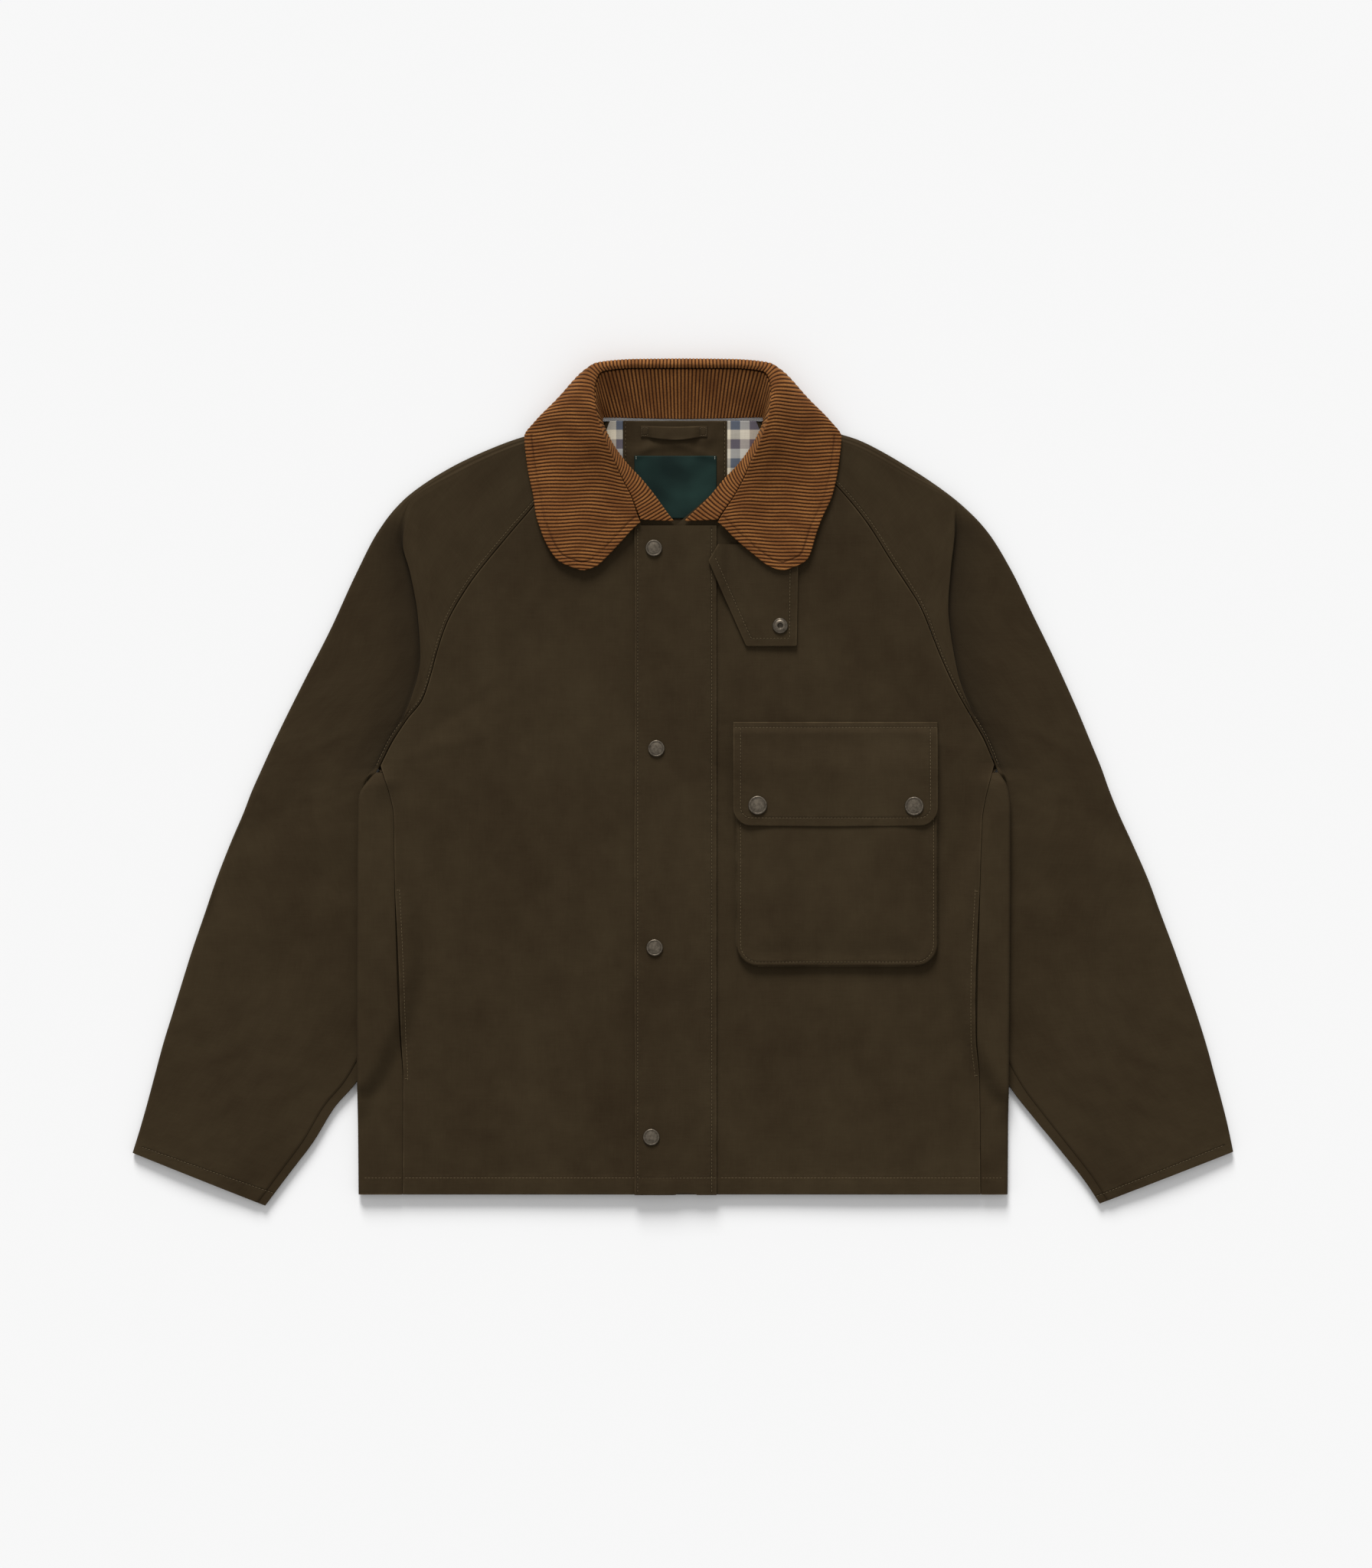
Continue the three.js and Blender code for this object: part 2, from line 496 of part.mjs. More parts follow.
function makeSnaps() {
  SNAPS.forEach((snap, i) => add(`snap_${i + 1}`,
    turned(snapProfile(15), snap.x, snap.y, seat(flapTop, snap, 7.5)), ANTIQUE));
  const pocketFlapTop = (x, y) => pocketFlapHeight(x, y) + DOUBLE;
  FLAP_SNAPS.forEach((snap, i) => add(`flap_snap_${i + 1}`,
    turned(snapProfile(17), snap.x, snap.y, seat(pocketFlapTop, snap, 8.5)), ANTIQUE));
  const tabTop = (x, y) => tabHeight(x, y) + DOUBLE;
  const ring = [[1.9, 0.6], [2.6, 0.4], [2.6, 0], [6.8, 0], [7, 0.6], [6.2, 1.6], [4.6, 1.9], [3.2, 2.2], [1.9, 1.7],
    [1.9, 0.6]];
  add("tab_socket", turned(ring, TAB_SOCKET.x, TAB_SOCKET.y, seat(tabTop, TAB_SOCKET, 7)), ANTIQUE);
}

// Inside the neck: yoke, checked lining, label and hanger loop lie on the back
const LINING_Z = WALL + SEAM;

function makeNeckInside() {
  const flatAt = (z) => () => z;
  const columns = (rows, count) => rows.map(([y, left, right]) => between(left, right, y, count));
  layOn("back_yoke", columns([[226, -53.8, 39.7], [NECK_SEAM_Y - 0.2, -53.8, 39.7]], 1), THIN, WAXED, flatAt(LINING_Z));
  layOn("lining_left", columns([[270, -90, -54.1], [306, -73.5, -54.1], [NECK_SEAM_Y - 0.2, -66, -54.1]], 2), THIN,
    CHECK, flatAt(LINING_Z));
  layOn("lining_right", columns([[256, 40, 94], [306, 40, 74.5], [NECK_SEAM_Y - 0.2, 40, 66]], 2), THIN, CHECK,
    flatAt(LINING_Z));
  layOn("neck_label", columns([[238, -43.8, 30.4], [294.6, -43.8, 30.4]], 1), 0.8, LABEL,
    flatAt(LINING_Z + THIN + SEAM));
  const loopZ = (x) => LINING_Z + THIN + SEAM + 1.8 * smooth(0, 8, Math.min(x + 38, 22 - x));
  const loop = [311.5, 321.5].map((y) => [-38, -34, -30, -8, 14, 18, 22].map((x) => [x, y]));
  layOn("hanger_loop", loop, 1.4, WAXED, loopZ);
}

// Collar: rows run from the left throat round the back of the neck to the right throat
function collarRows(rows, columns, perGap) {
  const count = (rows.length - 1) * perGap;
  const half = steps(count, 0, rows.length - 1).map((at) =>
    Object.fromEntries(columns.map((name) => [name, curve(rows, null, name)(at)])));
  const mirrored = (row, sign) => Object.fromEntries(columns.map((name) => {
    const towardsFlap = name.includes("X") || name.startsWith("x");
    return [name, towardsFlap ? sign * row[name] : row[name]];
  }));
  return [...half.map((row) => mirrored(row, -1)), ...half.slice(0, -1).reverse().map((row) => mirrored(row, 1))];
}

// The throat lies a little to the left of the middle
const throatShift = (y) => -3.4 * smooth(262, 234, y) * smooth(190, 225, y);
const shifted = (x, y, z) => point(x + throatShift(y), y, z);

function makeStand() {
  const outer = collarRows(STAND, STAND_COLUMNS, 2).map((row) => steps(5).map((f) => {
    const bulge = 1.6 * Math.sin(Math.PI * f);
    const [x, y] = [lerp(row.footX, row.topX, f), lerp(row.footY, row.topY, f)];
    return shifted(x, y, lerp(row.footZ, row.topZ, f) - bulge * 0.5);
  }));
  add("collar_stand", shell(outer, offset(outer, CORD_WALL)), CORDUROY);
}

function makeLeaf() {
  const outer = collarRows(LEAF, LEAF_COLUMNS, 2).map((row) => {
    const section = range(6).map((i) => ({ x: row[`x${i}`], y: row[`y${i}`], z: row[`z${i}`] }));
    const [x, y, z] = ["x", "y", "z"].map((axis) => curve(section, null, axis));
    return steps(10, 0, 5).map((t) => shifted(x(t), y(t), z(t)));
  });
  add("collar_leaf", shell(outer, offset(outer, CORD_WALL)), CORDUROY);
}

makeBack();
for (const side of Object.keys(sides)) {
  makeFront(side);
  makeSleeve(side);
}
makeStormFlap();
makeChestPocket();
makePocketFlap();
makeThroatTab();
makeSnaps();
makeNeckInside();
makeStand();
makeLeaf();

export default jacket;
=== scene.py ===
"""A waxed cotton jacket with a corduroy collar, laid flat on its back with the front facing up.

Each cloth piece is a surface worked out on a grid of two parameters, in millimetres, in the frame of the
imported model, and closed to a wall. Left and right are the sides seen from above.
"""

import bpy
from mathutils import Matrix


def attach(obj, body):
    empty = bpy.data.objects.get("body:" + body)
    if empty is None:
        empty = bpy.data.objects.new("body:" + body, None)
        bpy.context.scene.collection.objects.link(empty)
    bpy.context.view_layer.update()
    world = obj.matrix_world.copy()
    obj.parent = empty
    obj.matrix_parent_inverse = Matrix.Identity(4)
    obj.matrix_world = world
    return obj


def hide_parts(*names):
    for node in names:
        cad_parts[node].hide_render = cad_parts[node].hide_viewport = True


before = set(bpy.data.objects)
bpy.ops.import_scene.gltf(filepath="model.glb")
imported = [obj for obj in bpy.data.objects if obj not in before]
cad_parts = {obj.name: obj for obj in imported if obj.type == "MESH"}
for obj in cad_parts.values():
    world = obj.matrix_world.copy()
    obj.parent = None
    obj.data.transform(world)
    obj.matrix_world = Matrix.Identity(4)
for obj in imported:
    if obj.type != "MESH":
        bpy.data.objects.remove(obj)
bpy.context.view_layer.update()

import logging
import math
from collections.abc import Callable, Sequence
from dataclasses import dataclass, field
from enum import Enum

import bpy
import numpy as np
from mathutils import Vector

Array = np.ndarray
HeightField = Callable[[Array, Array], Array]
Pairs = tuple[tuple[float, float], ...]
Rgba = tuple[float, float, float, float]

MM = 0.001
WALL = 1.8  # waxed shell with its lining
THIN = 1.2  # lining and label
DOUBLE = 2.4  # two layers sewn together
CORD_WALL = 2.0
SEAM = 0.3  # clearance between sewn pieces
EDGE_ROUND = 0.9  # the turned edge of a sewn piece
HEM_Y = -371.5
HEM_STITCH_Y = -356.5
THROAT_Y = 232.0
SHOULDER_Y = 307.8
NECK_SEAM_Y = 326.5
STITCH_REACH = 15.0  # a stitched line is felt no further than this
WALE_PITCH = 3.2  # from one rib of the corduroy to the next

log = logging.getLogger("jacket")


class Side(Enum):
    """One side of the jacket, with the sign of its X."""

    LEFT = -1
    RIGHT = 1

    @property
    def word(self) -> str:
        """The side's name, as it ends the names of its pieces."""
        return self.name.lower()


class Slot(Enum):
    """Material slots of the record."""

    WAXED = "waxed_cotton"
    CORDUROY = "corduroy"
    CHECK = "check_lining"
    LABEL = "label_cloth"
    BRASS = "antique_brass"


# Forward side seams and side folds: a row for each height, as (y, x)
SIDE_SEAMS = {
    Side.LEFT: ((-371.5, 252.5), (-268, 252.3), (-229, 255), (-97, 259.2), (-31, 260.5), (-10, 264.5),
                (9, 270.6)),
    Side.RIGHT: ((-371.5, 268.4), (-268, 267.4), (-229, 264.6), (-98.7, 267.2), (-34.5, 269.5),
                 (-14.5, 272.6), (9, 278.4)),
}
SIDE_FOLDS = {
    Side.LEFT: ((-371.5, 292.6), (-200, 293.8), (-60, 293.2), (-17.6, 292.6), (-7.6, 290.2), (0.7, 284.3),
                (9, 277.8), (13.8, 274.6)),
    Side.RIGHT: ((-371.5, 292.9), (-200, 294.2), (-60, 295), (-24, 295), (-7.6, 293.3), (2.2, 289.3),
                 (9, 285.2), (15, 282.2)),
}
# A sleeve above the underarm: (x, y) of its front seam, armhole crease, outer fold and back seam, and the
# share of the drop behind the crease
RAGLANS = {
    Side.LEFT: (
        (78.6, 307.8, 84, 322, 87, 328, 67, 326, 0),
        (103.4, 286.4, 112, 313, 114, 320, 90, 310, 0),
        (132.9, 251.7, 147, 303, 150, 310, 118, 288, 0),
        (162.6, 217, 203, 278, 208, 285, 150, 254, 0),
        (193.9, 177.4, 247, 249, 253, 254, 182, 212, 0.1),
        (213.7, 142.7, 252.9, 216.7, 275, 226.5, 206, 172, 0.75),
        (222.1, 118, 246.3, 190.4, 296, 186, 219, 143, 1),
        (227, 99.8, 239, 150, 318, 138, 228, 118, 1),
        (235.2, 75.2, 236.8, 112, 340, 95, 240, 86, 1),
        (249.5, 56.5, 250.6, 62, 361, 53, 256, 51, 1),
        (263.2, 35.4, 264.9, 36, 371, 32, 268, 29, 1),
        (273.1, 15.4, 275.2, 15.4, 380, 12.1, 276.2, 13.5, 0.7),
    ),
    Side.RIGHT: (
        (80.6, 307.8, 85, 322, 88, 328, 67, 326, 0),
        (112.4, 290.4, 115, 313, 117, 320, 92, 310, 0),
        (136.3, 270, 150, 304, 153, 311, 120, 288, 0),
        (164.3, 237, 200, 278, 206, 283, 152, 254, 0),
        (190.8, 195.6, 245, 251, 252, 250, 184, 212, 0.1),
        (212, 163, 245.5, 228, 275, 226, 208, 172, 0.7),
        (217.2, 152.8, 241.5, 190.4, 296, 192, 221, 143, 1),
        (233.7, 111.5, 239.2, 157.3, 317, 149, 232, 118, 1),
        (246.8, 83.4, 248, 98, 335, 112, 248, 86, 1),
        (261.5, 57.1, 262.8, 60, 357, 63, 264, 51, 1),
        (272.4, 37.6, 274, 38, 368.5, 35.2, 275, 29, 1),
        (281.3, 16.3, 283.2, 16.3, 378, 12, 284.6, 13.5, 0.7),
    ),
}
# A sleeve below the underarm: (x, y) of its inner edge and of its outer fold
ARMS = {
    Side.LEFT: (
        (280, 1, 389, -8), (283, -18, 396.5, -27.5), (276, -45, 407, -52), (266, -80, 420, -85),
        (258, -115, 432, -120), (255, -155, 443, -152), (260, -195, 453, -184), (274, -233, 461, -210),
        (294, -270, 469, -236), (314, -293, 476.5, -264), (333.8, -325, 484, -292), (353.6, -351, 490, -313),
        (376.7, -381.7, 496.5, -334),
    ),
    Side.RIGHT: (
        (286, 1, 384, -5), (287, -20, 393, -27.5), (279, -47, 406, -56), (268, -82, 420, -88),
        (260, -115, 431, -118), (256, -155, 443, -150), (261, -195, 454, -181), (274, -234, 464, -210),
        (294.3, -273.6, 473, -239), (315.7, -301.6, 479.5, -263), (338.8, -329.7, 486, -287),
        (363.6, -361, 491.5, -309), (376, -379.8, 496.5, -333),
    ),
}
# Collar, from the throat to the middle of the back: the stand's seam to the leaf, then its lower edge
STAND = (
    (34.5, 236.5, 13.6, 4.4, 235.2, 12.2), (45, 256, 15.6, 21, 254, 12.4), (54.5, 274, 18.2, 38, 275, 12.4),
    (61, 289, 22.4, 50, 288, 12.2), (70.5, 311, 29.2, 64.5, 309, 11.6), (77.2, 333, 31.2, 71.5, 325, 8),
    (78.2, 350, 27.6, 71.6, 328.2, 5), (72.5, 367.5, 21.4, 62, 328.6, 3.9), (42, 371.4, 17.6, 36, 328, 3.7),
    (0, 371.6, 16.6, 0, 327.4, 3.6),
)
# The leaf's sections: six points each, from its seam over the roll to its outer edge
LEAF = (
    (34.6, 234.2, 15, 41, 228.5, 15.4, 49, 220, 15, 63, 206.6, 14.2, 78, 194.4, 13.6, 90.4, 190.2, 13.3),
    (45.6, 256, 17, 56, 249, 17.4, 69, 238, 16, 86, 222, 14.4, 102, 207, 13.5, 112, 200, 13),
    (55.2, 274, 20.6, 65, 268, 20.4, 79, 260, 17.8, 96, 250, 14.8, 113, 240, 13.2, 126.5, 232, 12.6),
    (61.8, 289.2, 25.6, 72, 285.5, 24.6, 86, 280, 20, 103, 272, 15.4, 121, 264.5, 12.8, 135, 259, 12),
    (71.4, 311.4, 32.6, 80, 309, 31, 93, 305, 24.6, 110, 298.5, 17, 127, 291.5, 13.4, 140.6, 286.5, 12),
    (78, 334, 34.6, 84, 336, 33.8, 96, 336, 28, 114, 331, 20, 131, 322.5, 14, 143.2, 312.4, 11.2),
    (78.9, 350.6, 30.8, 83, 353, 31.6, 93, 354.5, 28, 104, 354.8, 16, 110.5, 346, 4, 114, 330, 1),
    (73.2, 368.2, 24.2, 76.5, 372, 25.6, 79.5, 376.8, 22, 79.6, 375.8, 10, 74, 360, 0.6, 70, 333, 0),
    (42, 372.2, 19, 42, 376, 20.6, 42, 381.2, 16, 42, 378.6, 6, 42, 366, 0.2, 42, 332, 0),
    (0, 372.4, 17.8, 0, 376.2, 19.4, 0, 381.7, 14.6, 0, 378.8, 5, 0, 366, 0, 0, 331.4, 0),
)
# Creases of the fronts, then ridges of the lining: x, y, length, width, turn in degrees and height of each
FRONT_CREASES = (
    (-196, 66, 58, 7, 38, -0.7), (-214, 34, 44, 6, 20, 0.5), (-180, 96, 66, 9, 46, -0.45),
    (204, 70, 60, 7, -40, -0.7), (222, 40, 40, 6, -16, 0.5), (186, 108, 50, 8, -52, -0.4),
    (40, 8, 26, 3.2, -24, -0.55), (38, -26, 20, 2.6, -12, 0.4), (41, -58, 24, 3.4, -30, -0.5),
    (38, 52, 18, 3, 8, -0.35), (-120, -210, 90, 16, 76, -0.45), (120, -250, 80, 15, -70, -0.4),
    (-70, 120, 70, 14, 62, -0.4), (-216, -300, 50, 9, 30, 0.35), (232, -214, 60, 9, 64, -0.4),
)
LINING_RIDGES = (
    (-14, 304, 44, 4.5, 9, 1.3), (12, 299, 30, 4, -22, 1.1), (-34, 300, 22, 4, 34, 1.0),
    (24, 312, 26, 5, 58, 0.9), (0, 286, 50, 7, -6, 0.5),
)


# Curves and grids


def smooth(start: float, end: float, at: Array | float) -> Array:
    """An S-shaped step: 3tt - 2ttt of the way t from start to end, 0 before it and 1 after it."""
    t = np.clip((np.asarray(at, float) - start) / (end - start), 0, 1)
    return t * t * (3 - 2 * t)


def lerp(a: Array | float, b: Array | float, t: Array | float) -> Array:
    """The value t of the way from a to b."""
    return a + (b - a) * t


def held_slopes(step: Array) -> Array:
    """Slopes that never let a curve overshoot its values.

    A slope is the harmonic mean of the steps before and after the value, or 0 where they differ in sign.

    Args:
        step: Shape (..., n - 1, k): the steps between n values.

    Returns:
        Shape (..., n, k).
    """
    before, after = step[..., :-1, :], step[..., 1:, :]
    agree = before * after > 0
    middle = np.where(agree, 2 * before * after / np.where(agree, before + after, 1), 0)
    return np.concatenate([step[..., :1, :], middle, step[..., -1:, :]], axis=-2)


def cubic(f: Array, low: Array, high: Array, low_slope: Array, high_slope: Array) -> Array:
    """The cubic that runs from low to high over f = 0 to 1 with the given slopes at its ends."""
    return ((1 + 2 * f) * (1 - f) ** 2 * low + f * (1 - f) ** 2 * low_slope
            + f * f * (3 - 2 * f) * high + f * f * (f - 1) * high_slope)


def hermite(values: Array, t: Array) -> Array:
    """A smooth curve through each point's own row of values, which never overshoots them.

    Args:
        values: Shape (..., n, k): n values of k columns, at the whole numbers 0 to n - 1.
        t: Shape (...): where each curve is read.

    Returns:
        Shape (..., k).
    """
    slope = held_slopes(np.diff(values, axis=-2))
    k = np.clip(np.floor(t).astype(int), 0, values.shape[-2] - 2)
    f = np.clip(t - k, 0, 1)[..., None]
    row = np.broadcast_to(k[..., None, None], k.shape + (1, values.shape[-1]))
    pick = lambda source, shift: np.take_along_axis(source, row + shift, axis=-2)[..., 0, :]
    return cubic(f, pick(values, 0), pick(values, 1), pick(slope, 0), pick(slope, 1))


class Curve:
    """A smooth curve through a table's rows, read at a column's value or at the row's number."""

    def __init__(self, rows: Sequence[Sequence[float]], at: Sequence[float] | None = None) -> None:
        """Works out the slopes at the rows.

        Args:
            rows: A row of values for each place.
            at: The rows' places in rising order, or None for their numbers.
        """
        self.values = np.asarray(rows, float)
        self.at = np.arange(len(self.values), dtype=float) if at is None else np.asarray(at, float)
        self.slope = held_slopes(np.diff(self.values, axis=0) / np.diff(self.at)[:, None])

    def __call__(self, t: Array | float) -> Array:
        """The row of values at t, shape t.shape + (columns,)."""
        t = np.clip(np.asarray(t, float), self.at[0], self.at[-1])
        k = np.clip(np.searchsorted(self.at, t, side="left") - 1, 0, len(self.at) - 2)
        width = (self.at[k + 1] - self.at[k])[..., None]
        f = (t - self.at[k])[..., None] / width
        return cubic(f, self.values[k], self.values[k + 1], width * self.slope[k], width * self.slope[k + 1])


def curve_over_y(rows: Sequence[tuple[float, float]]) -> Callable[[Array | float], Array]:
    """The x of a line given by rows of (y, x), as a function of y."""
    line = Curve([[x] for _, x in rows], [y for y, _ in rows])
    return lambda y: line(y)[..., 0]


def spread(start: float, end: float, step: float) -> Array:
    """Places from start to end, evenly spaced, and closer together by the ends, where an edge rounds over."""
    near = np.array([0, 0.2, 0.5, 0.9, 1.5])
    length = abs(end - start)
    count = max(2, math.ceil((length - 5) / step) + 1)
    even = np.linspace(2.5, length - 2.5, count)
    places = np.concatenate([near, even, length - near[::-1]])
    return start + places * np.sign(end - start)


def run_along(points: Array, axis: int = 0) -> Array:
    """Length from the start of each line of points along an axis: its steps added up."""
    step = np.linalg.norm(np.diff(points, axis=axis), axis=-1)
    return np.concatenate([np.zeros_like(step.take([0], axis)), np.cumsum(step, axis)], axis)


def within(x: Array, y: Array, left: Array | float, right: Array | float, low: Array | float,
           high: Array | float) -> Array:
    """Distance inwards from the nearest of four straight edges."""
    return np.minimum(np.minimum(x - left, right - x), np.minimum(y - low, high - y))


def rounded(distance: Array, radius: float = EDGE_ROUND) -> Array:
    """How far an edge rounds down at a distance inside it: the sagitta of a quarter circle."""
    inside = np.clip(radius - distance, 0, radius)
    return radius - np.sqrt(radius**2 - 0.96 * inside**2)


def unit(vectors: Array) -> Array:
    """The same directions with a length of 1, or 0 for a vector of no length."""
    return vectors / np.maximum(np.linalg.norm(vectors, axis=-1, keepdims=True), 1e-9)


def normals(grid: Array) -> Array:
    """Unit normals of a grid of points: the cross product of its steps along the columns and the rows."""
    return unit(np.cross(np.gradient(grid, axis=1), np.gradient(grid, axis=0)))


def bell(distance: Array, width: float) -> Array:
    """A bell curve, exp(-(distance / width)^2)."""
    return np.exp(-((distance / width) ** 2))


def signed_distance(x: Array, y: Array, path: Array) -> Array:
    """Distance in plan from each point to a line of points, positive on the line's left-hand side.

    Each point takes the nearest of the line's stretches, by its foot on that stretch.
    """
    start, step = path[:-1, :2], np.diff(path[:, :2], axis=0)
    dx, dy = x[..., None] - start[:, 0], y[..., None] - start[:, 1]
    t = np.clip((dx * step[:, 0] + dy * step[:, 1]) / (step**2).sum(axis=1), 0, 1)
    fx, fy = dx - t * step[:, 0], dy - t * step[:, 1]
    gap = np.hypot(fx, fy)
    nearest = gap.argmin(axis=-1)[..., None]
    cross = np.take_along_axis(step[:, 0] * fy - step[:, 1] * fx, nearest, -1)[..., 0]
    return np.take_along_axis(gap, nearest, -1)[..., 0] * np.where(cross < 0, -1, 1)


def nearest_stitch(x: Array, y: Array, paths: Sequence[Array]) -> Array:
    """Distance to the nearest of several stitched lines, held at STITCH_REACH."""
    found = np.full(x.shape, STITCH_REACH)
    for path in paths:
        found = np.minimum(found, np.abs(signed_distance(x, y, path)))
    return found


def line_through(*points: tuple[float, float], step: float = 6.0) -> Array:
    """A line in plan through the given corners, with a point at least every step millimetres."""
    parts = []
    for a, b in zip(points, points[1:]):
        count = max(2, math.ceil(math.dist(a, b) / step) + 1)
        parts.append(np.linspace(a, b, count)[:-1])
    return np.vstack([*parts, [points[-1]]])


@dataclass(frozen=True)
class Crease:
    """One soft trough or ridge of the cloth, whose section and whose length are both bell curves.

    Attributes:
        x: X of its middle, millimetres.
        y: Y of its middle, millimetres.
        length: Its reach along itself, millimetres.
        width: Its reach to each side, millimetres.
        turn: Its direction, degrees from X towards Y.
        height: How high it stands, millimetres, negative for a trough.
        wander: How far it swings from side to side, millimetres.
    """

    x: float
    y: float
    length: float
    width: float
    turn: float
    height: float
    wander: float = 2.5

    def over(self, x: Array, y: Array) -> Array:
        """Its height at each point: height times exp(-(along / length)^2 - (across / width)^2)."""
        turn = math.radians(self.turn)
        along = (x - self.x) * math.cos(turn) + (y - self.y) * math.sin(turn)
        across = (y - self.y) * math.cos(turn) - (x - self.x) * math.sin(turn)
        across = across + self.wander * np.sin(along / 17)
        return self.height * np.exp(-((along / self.length) ** 2) - (across / self.width) ** 2)


def on_surface(path: Array, height: HeightField) -> Array:
    """Lifts a line in plan onto a height field."""
    return np.column_stack([path[:, 0], path[:, 1], height(path[:, 0], path[:, 1])])


# Meshes


@dataclass
class Surface:
    """The outer surface of a cloth piece, on a grid of rows and columns.

    Attributes:
        points: Shape (rows, columns, 3), millimetres.
        cloth: The cloth's own coordinates of each point, millimetres.
        stitch: Distance to the nearest stitched line, millimetres.
        edge: Distance to the nearest turned edge, millimetres.
        painted_shade: How much painted shade darkens each point beside a fold, 0 to 1, or None where there is
            none.
    """

    points: Array
    cloth: Array
    stitch: Array
    edge: Array
    painted_shade: Array | None = None

    @classmethod
    def plain(cls, points: Array, stitch: Array | None = None, edge: Array | None = None) -> "Surface":
        """A surface whose cloth coordinates are its X and Y."""
        far = np.full(points.shape[:2], STITCH_REACH)
        stitch, edge = (far if mark is None else mark for mark in (stitch, edge))
        return cls(points, points[..., :2].copy(), stitch, edge)

    def area(self) -> float:
        """Area in square metres: half the cross product of both diagonals of each cell, added up."""
        p = self.points
        cross = np.cross(p[1:, 1:] - p[:-1, :-1], p[1:, :-1] - p[:-1, 1:])
        return float(np.linalg.norm(cross, axis=-1).sum() / 2) * MM * MM


def new_mesh(name: str, points: Array, quads: Array, smooth_angle: float = 50.0) -> bpy.types.Object:
    """Puts points (millimetres) and faces of four corners into a mesh, with its faces turned outwards.

    The sign of the volume, the sum of a·(b×c) over the faces' triangles, says which way they point.
    """
    a, b, c, d = (points[quads[:, i]] for i in range(4))
    volume = (a * np.cross(b, c)).sum() + (a * np.cross(c, d)).sum()
    if volume < 0:
        quads = quads[:, ::-1]
    mesh = bpy.data.meshes.new(name)
    mesh.vertices.add(len(points))
    mesh.vertices.foreach_set("co", (points * MM).ravel())
    mesh.loops.add(quads.size)
    mesh.loops.foreach_set("vertex_index", quads.ravel().astype(np.int32))
    mesh.polygons.add(len(quads))
    mesh.polygons.foreach_set("loop_start", np.arange(0, quads.size, 4, dtype=np.int32))
    mesh.polygons.foreach_set("use_smooth", np.ones(len(quads), bool))
    mesh.update(calc_edges=True)
    mesh.validate()
    mesh.set_sharp_from_angle(angle=math.radians(smooth_angle))
    piece = bpy.data.objects.new(name, mesh)
    bpy.context.collection.objects.link(piece)
    return piece


def ring_faces(rings: int, sides: int) -> tuple[Array, Array]:
    """The point numbers of a row of rings, and the faces between each ring and the next."""
    number = np.arange(rings * sides).reshape(rings, sides)
    after = np.roll(number, -1, axis=1)
    return number, np.stack([number[:-1], after[:-1], after[1:], number[1:]], -1).reshape(-1, 4)


def closed_wall(name: str, surface: Surface, inner: Array) -> bpy.types.Object:
    """A closed wall between an outer surface and an inner grid of the same size.

    The faces are the outer grid's cells, the inner grid's cells turned over, and a strip round the rim.
    """
    rows, cols = surface.points.shape[:2]
    number = np.arange(rows * cols).reshape(rows, cols)
    twin = number + rows * cols

    def cells(grid: Array) -> Array:
        """The faces between a grid's points."""
        return np.stack([grid[:-1, :-1], grid[:-1, 1:], grid[1:, 1:], grid[1:, :-1]], -1).reshape(-1, 4)

    loop = np.concatenate([number[0, :-1], number[:-1, -1], number[-1, :0:-1], number[:0:-1, 0]])
    after = np.roll(loop, -1)
    rim = np.stack([loop, loop + rows * cols, after + rows * cols, after], -1)
    quads = np.concatenate([cells(number), cells(twin)[:, ::-1], rim])
    points = np.concatenate([surface.points.reshape(-1, 3), inner.reshape(-1, 3)])
    piece = new_mesh(name, points, quads)
    mesh = piece.data
    corner = np.empty(len(mesh.loops), np.int32)
    mesh.loops.foreach_get("vertex_index", corner)
    flat = np.concatenate([surface.cloth.reshape(-1, 2)] * 2) * MM
    mesh.uv_layers.new(name="cloth").data.foreach_set("uv", flat[corner].ravel())
    painted_shade = np.zeros(surface.edge.shape) if surface.painted_shade is None else surface.painted_shade
    for mark, values in (("stitch", surface.stitch), ("edge", surface.edge), ("painted_shade", painted_shade)):
        both = np.concatenate([values.ravel(), values.ravel()])
        mesh.attributes.new(mark, "FLOAT", "POINT").data.foreach_set("value", both.astype(np.float32))
    return piece


def lowered(points: Array, by: float) -> Array:
    """The same grid, moved straight down."""
    return points - np.array([0, 0, by])


